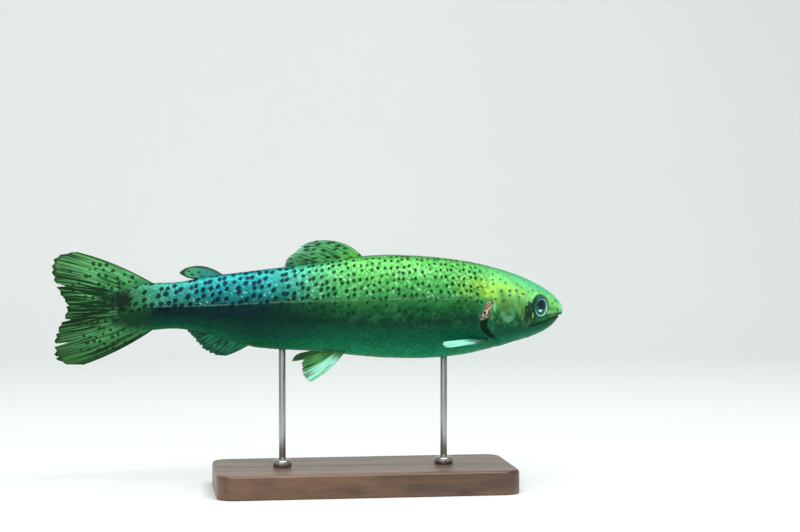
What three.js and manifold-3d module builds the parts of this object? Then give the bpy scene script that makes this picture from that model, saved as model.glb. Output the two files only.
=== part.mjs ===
// A life-size rainbow trout on a plain two-rod display stand.
// Millimetres, +Z up. The fish faces +X, its right flank faces -Y, and the origin is the
// middle of the stand's underside. Every solid of the fish is shaped in fish coordinates,
// { s, y, z }: s runs back from the snout tip, y across the fish and z up from the snout's
// level. place() then sets it on the stand, with the gentle bend of a swimming body.
import * as THREE from "three";
import { mergeVertices } from "three/addons/utils/BufferGeometryUtils.js";
import Module from "manifold-3d";

const wasm = await Module();
wasm.setup();

// ---------------------------------------------------------------- driving sizes, mm

const SNOUT_X = 120; // the snout's place along the stand
const SNOUT_HEIGHT = 105; // above the floor
const BODY_END = 264.5; // where flesh and scales end, in the root of the tail fin
const GAP = 0.3; // between neighbouring solids

const HEAD_BEND = { from: 70, away: 3.2 }; // the head turns a little to the left
const TAIL_BEND = { from: 150, over: 150, away: -7 }; // the tail swings a little to the right

// s is the distance behind the snout. back, belly and waist are heights above the snout's
// level, waist being that of the widest point. half is the half width.
const STATIONS = [
  { s: 0, back: -0.2, waist: -0.2, belly: -0.2, half: 0 }, // snout tip
  { s: 1.6, back: 4.4, waist: 0.2, belly: -4.4, half: 3.8 }, // lips
  { s: 4, back: 7.5, waist: 0.4, belly: -7.4, half: 5.4 },
  { s: 8, back: 10.9, waist: 0.8, belly: -10.7, half: 7.1 }, // nostrils
  { s: 14, back: 14.6, waist: 1.2, belly: -14.0, half: 8.9 }, // eyes
  { s: 26, back: 20.3, waist: 1.6, belly: -18.0, half: 11.6 }, // cheek
  { s: 44, back: 26.0, waist: 2.2, belly: -22.6, half: 14.2 }, // gill cover
  { s: 62, back: 29.7, waist: 3.2, belly: -26.3, half: 15.5 }, // shoulder
  { s: 86, back: 32.4, waist: 4.0, belly: -28.1, half: 16.4 },
  { s: 106, back: 33.2, waist: 4.2, belly: -27.6, half: 16.5 }, // deepest
  { s: 124, back: 32.2, waist: 4.2, belly: -26.1, half: 16.0 }, // front of the dorsal fin
  { s: 146, back: 29.0, waist: 4.0, belly: -23.5, half: 14.7 },
  { s: 181, back: 24.6, waist: 3.6, belly: -21.0, half: 11.5 }, // vent
  { s: 210, back: 21.2, waist: 3.8, belly: -12.9, half: 8.0 }, // adipose fin
  { s: 232, back: 17.7, waist: 4.0, belly: -9.2, half: 5.7 }, // narrowest of the tail stalk
  { s: 246, back: 17.4, waist: 3.8, belly: -9.9, half: 4.4 },
  { s: 256, back: 14.6, waist: 3.6, belly: -7.2, half: 2.9 },
  { s: 262, back: 9.6, waist: 3.5, belly: -2.4, half: 1.6 },
  { s: 264.5, back: 3.5, waist: 3.5, belly: 3.5, half: 0 },
];

const RINGS = 38; // body cross-sections
const SIDES = 26; // corners of each
const COARSE = { rings: 20, sides: 16 }; // of the hidden faces behind a gill cover
const SQUARENESS = { above: 2.05, below: 2.15 }; // superellipse powers of a cross-section

// Cuts of the head, in side view.
const MOUTH_LINE = [[-4, -3.3], [2, -3.7], [8, -5.3], [14, -7.3], [21.6, -9.6]];
const JAW_REAR = [[25, -14], [28, -22], [22, -30], [-4, -30]];
const SHOULDER_RIM = [
  [49.5, 40], [49.5, 16], [49, 9], [48.6, 5.6], [51, 0.4], [52.5, -4], [52.4, -8.5],
  [51, -12], [47.4, -15], [41.8, -18], [34, -20.5], [30, -34],
];
const COVER_FRONT = [[36.5, -17], [32.2, -11], [31, -4], [31.6, 3], [34.5, 9]];
const COVER_REAR = [[42, 9.6], [45.4, 6.6], [46.3, 1.4], [47.6, -3], [47.9, -8], [46.6, -12], [42.6, -15.6]];
const UPPER_JAW = [
  [3.4, -2], [9, -3.4], [15, -4.4], [20, -5.8], [22.4, -8], [21.6, -9.3], [14, -7], [8, -5], [3.4, -3.8],
];

const COVER_THICKNESS = 1.6;
const GILL_DEPTH = { from: 0.9, to: 2.5 }; // the gill tissue, below the body's surface
const UPPER_JAW_DEPTH = { proud: 0.25, under: 1.1 };

const EYE = { s: 14.8, z: 2.2, turn: 15, sides: 18 };
// The eyeball's outline, as [distance from its axis, height above the skin]: the clear front
// dome, the rim and the round back.
const EYE_OUTLINE = [
  [0, 1], [2.6, 0.75], [4.6, -0.15], [5.5, -1.3], [5.6, -2.6], [4.6, -4.6], [2.6, -5.7], [0, -6.1],
];

const TRUNK_CUTS = [126, 186]; // between the front and rear trunk and the tail stalk

// ---------------------------------------------------------------- small helpers

// A smooth curve through points, which doesn't swing past them (monotone cubic).
function smooth(xs, ys) {
  const steps = xs.slice(1).map((x, i) => (ys[i + 1] - ys[i]) / (x - xs[i]));
  const slopes = xs.map((x, i) => {
    const before = steps[Math.max(0, i - 1)];
    const after = steps[Math.min(steps.length - 1, i)];
    return before * after <= 0 ? 0 : (2 * before * after) / (before + after);
  });
  return (x) => {
    let i = xs.findIndex((edge) => x < edge) - 1;
    if (i === -2) i = xs.length - 2;
    i = Math.max(0, i);
    const width = xs[i + 1] - xs[i];
    const t = THREE.MathUtils.clamp((x - xs[i]) / width, 0, 1);
    const start = (1 + 2 * t) * (1 - t) ** 2 * ys[i] + t * (1 - t) ** 2 * width * slopes[i];
    const end = t * t * (3 - 2 * t) * ys[i + 1] + t * t * (t - 1) * width * slopes[i + 1];
    return start + end;
  };
}

// Profiles run over the square root of s, so that the snout comes out round.
const rootPlaces = STATIONS.map((station) => Math.sqrt(station.s));
const profileOf = (name) => {
  const curve = smooth(rootPlaces, STATIONS.map((station) => station[name]));
  return (s) => curve(Math.sqrt(Math.max(0, s)));
};
const backAt = profileOf("back");
const waistAt = profileOf("waist");
const bellyAt = profileOf("belly");
const halfAt = profileOf("half");

// The sideways bend: nothing in the middle, more towards the head and the tail.
function bendAt(s) {
  const head = HEAD_BEND.away * Math.max(0, (HEAD_BEND.from - s) / HEAD_BEND.from) ** 2;
  const tail = TAIL_BEND.away * Math.max(0, (s - TAIL_BEND.from) / TAIL_BEND.over) ** 2;
  return head + tail;
}

// From fish coordinates to the part's own.
function place({ s, y, z }) {
  return new THREE.Vector3(SNOUT_X - s, y + bendAt(s), SNOUT_HEIGHT + z);
}

// Turns corners and triangles into a solid, facing out whichever way they were wound.
function solidFrom(points, triangles) {
  const geometry = new THREE.BufferGeometry().setFromPoints(points);
  geometry.setIndex(triangles);
  return solidOf(geometry);
}

function solidOf(geometry) {
  const bare = geometry.clone();
  bare.deleteAttribute("normal");
  bare.deleteAttribute("uv");
  const merged = mergeVertices(bare, 1e-4);
  const vertProperties = new Float32Array(merged.attributes.position.array);
  const triVerts = new Uint32Array(merged.index.array);
  const solid = new wasm.Manifold(new wasm.Mesh({ numProp: 3, vertProperties, triVerts }));
  if (solid.volume() > 0) return solid;
  for (let i = 0; i < triVerts.length; i += 3) {
    [triVerts[i + 1], triVerts[i + 2]] = [triVerts[i + 2], triVerts[i + 1]];
  }
  return new wasm.Manifold(new wasm.Mesh({ numProp: 3, vertProperties, triVerts }));
}

function geometryOf(solid) {
  const mesh = solid.getMesh();
  const geometry = new THREE.BufferGeometry();
  geometry.setAttribute("position", new THREE.BufferAttribute(new Float32Array(mesh.vertProperties), 3));
  geometry.setIndex(new THREE.BufferAttribute(new Uint32Array(mesh.triVerts), 1));
  const flat = geometry.toNonIndexed();
  flat.computeVertexNormals();
  return flat;
}

// Keeps the largest body of a cut, and drops slivers.
function largest(solid) {
  return solid.decompose().reduce((best, body) => (body.volume() > best.volume() ? body : best));
}

// ---------------------------------------------------------------- the body

const signedPower = (value, power) => Math.sign(value) * Math.abs(value) ** power;

// A point of the cross-section at s, at an angle from the right side up over the back.
function skinPoint(s, angle, grow = 0) {
  const up = Math.sin(angle);
  const power = 2 / (up > 0 ? SQUARENESS.above : SQUARENESS.below);
  const reach = up > 0 ? backAt(s) - waistAt(s) + grow : waistAt(s) - bellyAt(s) + grow;
  return {
    y: -(halfAt(s) + grow) * signedPower(Math.cos(angle), power),
    z: waistAt(s) + reach * signedPower(up, power),
  };
}

// The whole body, from the snout to the root of the tail fin, grown or shrunk all over.
function bodySolid(grow = 0, rings = RINGS, sides = SIDES) {
  const tip = { s: -grow, y: 0, z: STATIONS[0].waist };
  const end = { s: BODY_END + grow, y: 0, z: STATIONS.at(-1).waist };
  const points = [place(tip)];
  for (let ring = 1; ring < rings; ring++) {
    const t = ring / rings;
    const s = BODY_END * (1 - (1 - t ** 1.5) ** 1.25); // close-set at the ends
    const moved = s + grow * (2 * t - 1) ** 9; // the ends move out too
    for (let side = 0; side < sides; side++) {
      points.push(place({ s: moved, ...skinPoint(s, (2 * Math.PI * side) / sides, grow) }));
    }
  }
  points.push(place(end));
  const triangles = [];
  const corner = (ring, side) => 1 + (ring - 1) * sides + (side % sides);
  for (let side = 0; side < sides; side++) {
    triangles.push(0, corner(1, side + 1), corner(1, side));
    triangles.push(points.length - 1, corner(rings - 1, side), corner(rings - 1, side + 1));
    for (let ring = 1; ring < rings - 1; ring++) {
      const [a, b] = [corner(ring, side), corner(ring, side + 1)];
      const [c, d] = [corner(ring + 1, side + 1), corner(ring + 1, side)];
      triangles.push(a, b, c, a, c, d);
    }
  }
  return solidFrom(points, triangles);
}

// ---------------------------------------------------------------- side-view cutters

// A closed outline in [s, z], with every edge moved outwards by a distance.
function grown(outline, distance) {
  const corners = outline.map(([s, z]) => new THREE.Vector2(s, z));
  const outwards = Math.sign(THREE.ShapeUtils.area(corners));
  const normals = corners.map((corner, i) => {
    const edge = corners[(i + 1) % corners.length].clone().sub(corner).normalize();
    return new THREE.Vector2(edge.y, -edge.x).multiplyScalar(outwards);
  });
  return corners.map((corner, i) => {
    const [before, after] = [normals[(i + corners.length - 1) % corners.length], normals[i]];
    const mitre = before.clone().add(after).divideScalar(Math.max(0.25, 1 + before.dot(after)));
    return corner.clone().addScaledVector(mitre, distance).toArray();
  });
}

// A side-view outline as a prism: through the whole fish, or its right (-1) or left (1) half.
function prism(outline, side = 0) {
  const reach = 30;
  const shape = new THREE.Shape(outline.map(([s, z]) => new THREE.Vector2(SNOUT_X - s, SNOUT_HEIGHT + z)));
  const depth = side ? reach : 2 * reach;
  const geometry = new THREE.ExtrudeGeometry(shape, { depth, bevelEnabled: false });
  geometry.rotateX(Math.PI / 2); // the outline stands up, and the depth runs towards -Y
  geometry.translate(0, side < 0 ? 0 : reach, 0);
  return solidOf(geometry);
}

// Everything between two planes across the fish.
function between(front, rear) {
  return prism([[front, -60], [rear, -60], [rear, 60], [front, 60]]);
}

// ---------------------------------------------------------------- the eyes

// A round solid about an axis that points out of the right (-1) or left (1) side of the head.
function eyeSolid(side, outline) {
  const profile = outline.map(([radius, height]) => new THREE.Vector2(radius, side * height));
  const geometry = new THREE.LatheGeometry(profile, EYE.sides);
  geometry.rotateZ(-side * THREE.MathUtils.degToRad(EYE.turn));
  geometry.translate(...place({ s: EYE.s, y: side * halfAt(EYE.s), z: EYE.z }));
  return solidOf(geometry);
}

// The socket is the eyeball's back with a gap round it, open to the outside.
const socketOutline = [[0, 4], [5.5 + 2 * GAP, 4]].concat(
  EYE_OUTLINE.slice(4).map(([radius, height]) => [radius && radius + GAP, height - GAP]),
);

// ---------------------------------------------------------------- fins

// A fin is a fan of rays. root(v) and tip(v) give the ends of the ray at v, from 0 at the leading
// edge to 1 at the trailing edge, and bow(v) how far the ray's middle is pushed out of the straight.
// Webs between rays fall a little short of the ray tips, and splits are deeper nicks in the margin.
function finPoint(fin, u, v) {
  const split = (fin.splits ?? []).find((nick) => Math.abs(v - nick.at) < nick.width / 2);
  const along = u * (split ? 1 - split.depth : 1);
  const [root, tip, bow] = [fin.root(v), fin.tip(v), fin.bow(v)];
  const bulge = 2 * along * (1 - along);
  return place({
    s: root[0] + (tip[0] - root[0]) * along + bow[0] * bulge,
    y: root[1] + (tip[1] - root[1]) * along + bow[1] * bulge,
    z: root[2] + (tip[2] - root[2]) * along + bow[2] * bulge,
  });
}

function finSolid(fin) {
  const columns = 2 * fin.rays;
  const rows = fin.rows;
  const shortfall = (column) => (column % 2 ? fin.scallop : 0); // odd columns are webs
  const middle = (row, column) => finPoint(fin, (row / rows) * (1 - shortfall(column)), column / columns);
  const points = [];
  for (const side of [1, -1]) {
    for (let row = 0; row <= rows; row++) {
      for (let column = 0; column <= columns; column++) {
        const across = middle(row, Math.min(columns, column + 1)).sub(middle(row, Math.max(0, column - 1)));
        const along = middle(Math.min(rows, row + 1), column).sub(middle(Math.max(0, row - 1), column));
        const normal = across.cross(along).normalize();
        const thickness = THREE.MathUtils.lerp(fin.thick[0], fin.thick[1], (row / rows) ** 0.7);
        points.push(middle(row, column).addScaledVector(normal, (side * thickness) / 2));
      }
    }
  }
  const layer = (rows + 1) * (columns + 1);
  const at = (side, row, column) => side * layer + row * (columns + 1) + column;
  const triangles = [];
  const quad = (a, b, c, d) => triangles.push(a, b, c, a, c, d);
  for (let row = 0; row < rows; row++) {
    for (let column = 0; column < columns; column++) {
      quad(at(0, row, column), at(0, row, column + 1), at(0, row + 1, column + 1), at(0, row + 1, column));
      quad(at(1, row, column), at(1, row + 1, column), at(1, row + 1, column + 1), at(1, row, column + 1));
    }
    quad(at(0, row, 0), at(0, row + 1, 0), at(1, row + 1, 0), at(1, row, 0));
    quad(at(0, row, columns), at(1, row, columns), at(1, row + 1, columns), at(0, row + 1, columns));
  }
  for (let column = 0; column < columns; column++) {
    quad(at(0, 0, column), at(1, 0, column), at(1, 0, column + 1), at(0, 0, column + 1));
    quad(at(0, rows, column), at(0, rows, column + 1), at(1, rows, column + 1), at(1, rows, column));
  }
  return solidFrom(points, triangles);
}

// A curve through [v, s, y, z] points, as a function of v.
function curve(points) {
  const vs = points.map((point) => point[0]);
  const axes = [1, 2, 3].map((axis) => smooth(vs, points.map((point) => point[axis])));
  return (v) => axes.map((axis) => axis(v));
}

// Each [v, s, y, z]: v across the fin, then the point in fish coordinates. y of a paired fin is
// the distance from the middle of the fish.
const FINS = {
  caudal_fin: {
    rays: 20, rows: 4, scallop: 0.02, thick: [2.6, 0.6],
    root: curve([
      [0, 240, 0, 15.6], [0.25, 253, 0, 10], [0.5, 257, 0, 3.4], [0.75, 253, 0, -3], [1, 240, 0, -7.6],
    ]),
    tip: curve([
      [0, 287, 0, 35.9], [0.06, 293.6, 0, 34.9], [0.12, 298.8, 0, 32.2], [0.2, 300.6, 0, 26.5],
      [0.3, 299.5, 0, 19], [0.4, 295.6, 0, 10.8], [0.48, 292.4, 0, 5], [0.56, 293.4, 0, -0.8], [0.68, 298, 0, -9.4],
      [0.8, 299.5, 0, -18], [0.9, 299.2, 0, -24.9], [0.96, 294, 0, -28.6], [1, 284, 0, -29.6],
    ]),
    bow: curve([[0, 0, 0, 4.4], [0.3, 0, 0, 1.6], [0.5, 0, 0, 0], [0.7, 0, 0, -1], [1, 0, 0, -4.2]]),
    splits: [
      { at: 0.325, width: 0.03, depth: 0.12 },
      { at: 0.6, width: 0.03, depth: 0.13 },
      { at: 0.8, width: 0.03, depth: 0.16 },
    ],
  },
  dorsal_fin: {
    rays: 11, rows: 3, scallop: 0.03, thick: [2.4, 0.6],
    root: curve([[0, 119, 0, 30.6], [0.5, 141, 0, 27.6], [1, 160, 0, 25]]),
    tip: curve([
      [0, 149.8, 0, 41.4], [0.2, 155.6, 0, 39.4], [0.45, 160.4, 0, 35], [0.75, 165.4, 0, 30.6],
      [1, 166.6, 0, 26.8],
    ]),
    bow: curve([[0, -4, 0, 8.4], [0.5, -1, 0, 2.8], [1, 0, 0, 0.6]]),
  },
  adipose_fin: {
    rays: 4, rows: 6, scallop: 0, thick: [2.6, 1],
    root: curve([[0, 202, 0, 21.6], [1, 211, 0, 19.6]]),
    tip: curve([[0, 224.5, 0, 25.8], [0.5, 227.6, 0, 23.2], [1, 223.4, 0, 20.4]]),
    bow: curve([[0, 0, 0, 6.4], [0.5, 0, 0, 1.6], [1, 0, 0, -1.2]]),
  },
  anal_fin: {
    rays: 10, rows: 4, scallop: 0.03, thick: [2.4, 0.6],
    root: curve([[0, 185, 0, -17.8], [0.5, 202, 0, -13], [1, 219, 0, -8.6]]),
    tip: curve([
      [0, 201.6, 0, -25.6], [0.2, 206.5, 0, -25.2], [0.4, 211, 0, -23.6], [0.6, 216, 0, -19.6],
      [0.8, 219.6, 0, -14.8], [1, 223.6, 0, -10.2],
    ]),
    bow: curve([[0, 0, 0, -1.6], [0.5, 0, 0, -1], [1, 0, 0, 0]]),
  },
  pelvic_fin_right: {
    rays: 7, rows: 4, scallop: 0.03, thick: [2.2, 0.6], side: -1,
    root: curve([[0, 131, 6.4, -22.6], [1, 137.5, 5.2, -21.4]]),
    tip: curve([
      [0, 153, 13.5, -40.4], [0.25, 156.2, 12.6, -37.9], [0.5, 157.6, 11.4, -34], [0.75, 157.6, 9.8, -29.8],
      [1, 155, 7, -26.6],
    ]),
    bow: curve([[0, -1.2, 1.4, -3.4], [0.5, 0, 1, -0.8], [1, 0, 0.4, 0.6]]),
  },
  pelvic_fin_left: {
    rays: 7, rows: 4, scallop: 0.03, thick: [2.2, 0.6], side: 1,
    root: curve([[0, 131, 6.4, -22.6], [1, 137.5, 5.2, -21.4]]),
    tip: curve([
      [0, 161.6, 10.4, -30.2], [0.3, 161.4, 9.4, -28.6], [0.6, 160.4, 8.2, -26.8], [1, 157, 6.2, -24.8],
    ]),
    bow: curve([[0, 0, 1.6, -1.8], [0.5, 0, 1, -1], [1, 0, 0.4, 0]]),
  },
  pectoral_fin_right: {
    rays: 8, rows: 4, scallop: 0.02, thick: [2.2, 0.6], side: -1,
    root: curve([[0, 47, 10.4, -16.4], [1, 52, 9.4, -17.6]]),
    tip: curve([
      [0, 73.5, 30, -19.6], [0.25, 77.2, 28.2, -19.4], [0.5, 79, 24.6, -18.8], [0.75, 77.6, 20, -18],
      [1, 72.5, 15.6, -17.6],
    ]),
    bow: curve([[0, -2.4, 3, 0.4], [0.5, 0, 1, 0.4], [1, 0, 0, 0]]),
  },
  pectoral_fin_left: {
    rays: 8, rows: 4, scallop: 0.02, thick: [2.2, 0.6], side: 1,
    root: curve([[0, 47, 10.4, -16.4], [1, 52, 9.4, -17.6]]),
    tip: curve([
      [0, 76, 28.2, -20.6], [0.25, 79.4, 26, -20.2], [0.5, 80.6, 22.4, -19.6], [0.75, 78.8, 18, -18.6],
      [1, 73.5, 14.2, -18],
    ]),
    bow: curve([[0, -2.2, 3, 0.4], [0.5, 0, 1, 0.4], [1, 0, 0, 0]]),
  },
};

// A paired fin's y is measured outwards, so it takes its side's sign.
function sided(fin) {
  if (!fin.side) return fin;
  const signed = (of) => (v) => {
    const [s, y, z] = of(v);
    return [s, fin.side * y, z];
  };
  return { ...fin, root: signed(fin.root), tip: signed(fin.tip), bow: signed(fin.bow) };
}

// ---------------------------------------------------------------- the stand

const BASE = { length: 176, width: 76, height: 14, corner: 10, bevel: 1.6 };
const ROD = { radius: 2, apart: 96, intoBase: 8, intoBody: 12, sides: 16 };
const COLLAR = { radius: 5.5, height: 4, bevel: 0.8, sides: 20 };

function stationOfRod(x) {
  return SNOUT_X - x;
}

function baseSolid() {
  const { length, width, height, corner, bevel } = BASE;
  const [x, y] = [length / 2 - corner, width / 2 - corner];
  const shape = new THREE.Shape();
  const inner = corner - bevel;
  [[x, y, 0], [-x, y, 1], [-x, -y, 2], [x, -y, 3]].forEach(([cx, cy, turn]) => {
    shape.absarc(cx, cy, inner, (turn * Math.PI) / 2, ((turn + 1) * Math.PI) / 2);
  });
  const geometry = new THREE.ExtrudeGeometry(shape, {
    depth: height - 2 * bevel, bevelThickness: bevel, bevelSize: bevel, bevelSegments: 2, curveSegments: 3,
  });
  geometry.translate(0, 0, bevel);
  return solidOf(geometry);
}

// An upright round bar between two heights.
function upright(x, radius, low, high, sides) {
  const geometry = new THREE.CylinderGeometry(radius, radius, high - low, sides);
  geometry.rotateX(Math.PI / 2);
  geometry.translate(x, bendAt(stationOfRod(x)), (low + high) / 2);
  return solidOf(geometry);
}

function collarSolid(x) {
  const { radius, height, bevel, sides } = COLLAR;
  const bore = ROD.radius + GAP;
  const profile = [
    [bore, 0], [radius, 0], [radius, height - bevel], [radius - bevel, height], [bore, height], [bore, 0],
  ].map(([r, z]) => new THREE.Vector2(r, z));
  const geometry = new THREE.LatheGeometry(profile, sides);
  geometry.rotateX(Math.PI / 2);
  geometry.translate(x, bendAt(stationOfRod(x)), BASE.height + GAP);
  return solidOf(geometry);
}

// ---------------------------------------------------------------- the nodes

const MATERIALS = {
  back: { color: 0x5f9a5a, roughness: 0.35, metalness: 0.1 },
  head: { color: 0x7fae62, roughness: 0.35, metalness: 0.1 },
  tail: { color: 0x4a9a86, roughness: 0.35, metalness: 0.1 },
  jaw: { color: 0x3f7a55, roughness: 0.35, metalness: 0.1 },
  gill: { color: 0xc98f80, roughness: 0.3, metalness: 0 },
  eye: { color: 0x1b2a26, roughness: 0.08, metalness: 0 },
  fin: { color: 0x4f7f4a, roughness: 0.45, metalness: 0 },
  base: { color: 0x4b3324, roughness: 0.45, metalness: 0 },
  rod: { color: 0xb8b4aa, roughness: 0.25, metalness: 1 },
};

const trout = new THREE.Group();

function add(name, material, solid) {
  const look = new THREE.MeshStandardMaterial(MATERIALS[material]);
  const mesh = new THREE.Mesh(geometryOf(largest(solid)), look);
  mesh.name = name;
  trout.add(mesh);
}

const skin = bodySolid();
const grownSkin = bodySolid(GAP);
const halves = { right: -1, left: 1 };

// The stand first, because the body is bored for its rods.
const rodPlaces = { front: ROD.apart / 2, rear: -ROD.apart / 2 };
const sockets = [];
let base = baseSolid();
for (const [name, x] of Object.entries(rodPlaces)) {
  const foot = BASE.height - ROD.intoBase;
  const top = SNOUT_HEIGHT + bellyAt(stationOfRod(x)) + ROD.intoBody;
  add(`stand_rod_${name}`, "rod", upright(x, ROD.radius, foot, top, ROD.sides));
  add(`stand_collar_${name}`, "rod", collarSolid(x));
  base = base.subtract(upright(x, ROD.radius + GAP, foot - GAP, BASE.height + 1, ROD.sides));
  sockets.push(upright(x, ROD.radius + GAP, BASE.height, top + GAP, ROD.sides));
}
add("stand_base", "base", base);

// The head, with the jaws, gill covers and eyes taken out of it.
const headOutline = [[-10, 40], [-10, -34], ...SHOULDER_RIM.slice().reverse()];
const jawOutline = [...MOUTH_LINE, ...JAW_REAR];
const coverOutline = [...COVER_FRONT, ...COVER_REAR];
const gillOutline = [
  ...grown(coverOutline, GAP).slice(COVER_FRONT.length + 1),
  ...SHOULDER_RIM.slice(3, 9).reverse(),
];
let head = skin.intersect(prism(headOutline)).subtract(prism(grown(jawOutline, GAP)));

for (const [name, side] of Object.entries(halves)) {
  const shell = (outer, inner, outline) => {
    const hollow = bodySolid(-inner, COARSE.rings, COARSE.sides);
    return bodySolid(-outer).subtract(hollow).intersect(prism(outline, side));
  };
  const { proud, under } = UPPER_JAW_DEPTH;
  const upperJaw = shell(-proud, under, UPPER_JAW).subtract(prism(grown(jawOutline, GAP)));
  add(`upper_jaw_${name}`, "jaw", upperJaw);
  add(`gill_cover_${name}`, "head", shell(0, COVER_THICKNESS, coverOutline));
  add(`gill_${name}`, "gill", shell(GILL_DEPTH.from, GILL_DEPTH.to, gillOutline));

  add(`eye_${name}`, "eye", eyeSolid(side, EYE_OUTLINE));
  head = head
    .subtract(shell(-1, under + GAP, grown(UPPER_JAW, GAP)))
    .subtract(shell(-1, COVER_THICKNESS + GAP, grown(coverOutline, GAP)))
    .subtract(shell(-1, GILL_DEPTH.to + GAP, grown(gillOutline, GAP)))
    .subtract(eyeSolid(side, socketOutline));
}
add("head", "head", head);
add("lower_jaw", "jaw", skin.intersect(prism(jawOutline)));

// The trunk in two lengths, and the tail stalk.
const behindHead = skin.subtract(prism(grown(headOutline, GAP)));
const bored = sockets.reduce((solid, socket) => solid.subtract(socket), behindHead);
const [fore, aft] = TRUNK_CUTS;
add("trunk_front", "back", bored.intersect(between(-5, fore)));
add("trunk_rear", "back", bored.intersect(between(fore + GAP, aft)));
add("tail_stalk", "tail", bored.intersect(between(aft + GAP, BODY_END + 5)));

for (const [name, fin] of Object.entries(FINS)) {
  add(name, "fin", finSolid(sided(fin)).subtract(grownSkin));
}

export default trout;
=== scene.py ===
"""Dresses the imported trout: one skin, its scales, fins, eyes and gills, and the display stand."""

import math

import bpy
import numpy as np
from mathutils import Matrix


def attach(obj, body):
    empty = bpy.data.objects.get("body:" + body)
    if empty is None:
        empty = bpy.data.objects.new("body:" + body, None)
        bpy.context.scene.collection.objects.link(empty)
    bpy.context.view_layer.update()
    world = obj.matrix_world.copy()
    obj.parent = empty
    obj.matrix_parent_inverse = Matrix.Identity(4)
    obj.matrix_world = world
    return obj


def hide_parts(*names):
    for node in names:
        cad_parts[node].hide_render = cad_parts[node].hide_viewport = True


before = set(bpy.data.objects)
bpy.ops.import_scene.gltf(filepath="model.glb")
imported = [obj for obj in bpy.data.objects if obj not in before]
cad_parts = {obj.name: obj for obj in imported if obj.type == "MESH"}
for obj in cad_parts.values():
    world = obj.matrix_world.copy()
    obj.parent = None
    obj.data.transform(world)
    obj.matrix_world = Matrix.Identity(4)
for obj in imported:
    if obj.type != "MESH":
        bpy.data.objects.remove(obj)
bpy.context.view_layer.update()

# ---------------------------------------------------------------- driving sizes, mm
# Fish coordinates are (s, y, z): s runs back from the snout tip, y across the fish, towards its
# left, and z up from the snout's level. place() sets them on the stand, in metres.

SNOUT_X, SNOUT_HEIGHT = 120.0, 105.0
BODY_END = 264.5  # how far back the scaled body runs into the tail fin
HEAD_BEND = {"from": 70.0, "away": 3.2}
TAIL_BEND = {"from": 150.0, "over": 150.0, "away": -7.0}
SQUARENESS = {"above": 2.05, "below": 2.15}

# Distance behind the snout, then the heights of the back, waist and belly, and the half width.
STATIONS = np.array([
    (0, -0.2, -0.2, -0.2, 0), (1.6, 4.4, 0.2, -4.4, 3.8), (4, 7.5, 0.4, -7.4, 5.4),
    (8, 10.9, 0.8, -10.7, 7.1), (14, 14.6, 1.2, -14.0, 8.9), (26, 20.3, 1.6, -18.0, 11.6),
    (44, 26.0, 2.2, -22.6, 14.2), (62, 29.7, 3.2, -26.3, 15.5), (86, 32.4, 4.0, -28.1, 16.4),
    (106, 33.2, 4.2, -27.6, 16.5), (124, 32.2, 4.2, -26.1, 16.0), (146, 29.0, 4.0, -23.5, 14.7),
    (181, 24.6, 3.6, -21.0, 11.5), (210, 21.2, 3.8, -12.9, 8.0), (232, 17.7, 4.0, -9.2, 5.7),
    (246, 17.4, 3.8, -9.9, 4.4), (256, 14.6, 3.6, -7.2, 2.9), (262, 9.6, 3.5, -2.4, 1.6),
    (264.5, 3.5, 3.5, 3.5, 0),
])

HEAD_RINGS, HEAD_LENGTH, TRUNK_RINGS, SKIN_SIDES = 170, 56.0, 165, 256
COAT_DEPTH = 0.28  # from the skin up to the tips of the scales

# Lines of the head in side view, as (s, z).
MOUTH_LINE = [(-4, -3.3), (2, -3.7), (8, -5.3), (14, -7.3), (21.6, -9.6)]
UPPER_JAW = [(3.0, -2.2), (9, -3.4), (15, -4.5), (20, -5.9), (22.6, -8), (21.8, -9.2), (14, -7.1),
             (8, -5.1)]
COVER_EDGE = [(38, -18), (42.6, -15.6), (46.6, -12), (47.9, -8), (47.2, -3), (45.2, 1.4), (43.9, 6.2),
              (42, 9.6)]
SHOULDER_RIM = [(34, -20.5), (41.8, -18), (47.4, -15), (51, -12), (52.4, -8.5), (52.5, -4), (51, 0.4),
                (48.4, 5.6), (45.5, 9)]
CHEEK_LINE = [(33.5, 12), (31.2, 6), (30.2, -1), (29.4, -8), (26.5, -12.5), (21.5, -14.6)]
COVER_SEAM = [(31.5, -6.5), (38, -9), (47, -9.8)]
JAW_CREASE = [(20, -7), (26, -5), (29.6, -1)]
BROW_CREASE = [(20.5, 5), (26, 8.5), (33, 11.5), (40, 12)]
NOSTRILS = [{"at": (4.9, 5.1), "size": 0.5, "deep": 0.8}, {"at": (6.9, 3.7), "size": 0.55, "deep": 0.9}]
LATERAL_LINE = [(0, -1.5), (18, 2.6), (40, 5.6), (53.9, 6.8), (76.5, 7.6), (100, 7.8), (124, 7.3),
                (158, 6.7), (188, 5.5), (216, 4.3), (245, 3.9), (262, 3.6)]
EYE = {"s": 14.5, "z": 2.3, "turn": math.radians(15), "opening": 5.55, "tall": 1.16}


# ---------------------------------------------------------------- curves and bends

def smooth(xs, ys):
    """A smooth curve through points, which doesn't swing past them."""
    xs, ys = np.asarray(xs, float), np.asarray(ys, float)
    steps = np.diff(ys) / np.diff(xs)
    before, after = np.r_[steps[0], steps], np.r_[steps, steps[-1]]
    total = np.where(before + after == 0, 1, before + after)
    slopes = np.where(before * after <= 0, 0, 2 * before * after / total)

    def at(x):
        x = np.clip(x, xs[0], xs[-1])
        i = np.clip(np.searchsorted(xs, x, side="right") - 1, 0, len(xs) - 2)
        width = xs[i + 1] - xs[i]
        t = (x - xs[i]) / width
        start = (1 + 2 * t) * (1 - t) ** 2 * ys[i] + t * (1 - t) ** 2 * width * slopes[i]
        return start + t * t * (3 - 2 * t) * ys[i + 1] + t * t * (t - 1) * width * slopes[i + 1]

    return at


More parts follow.
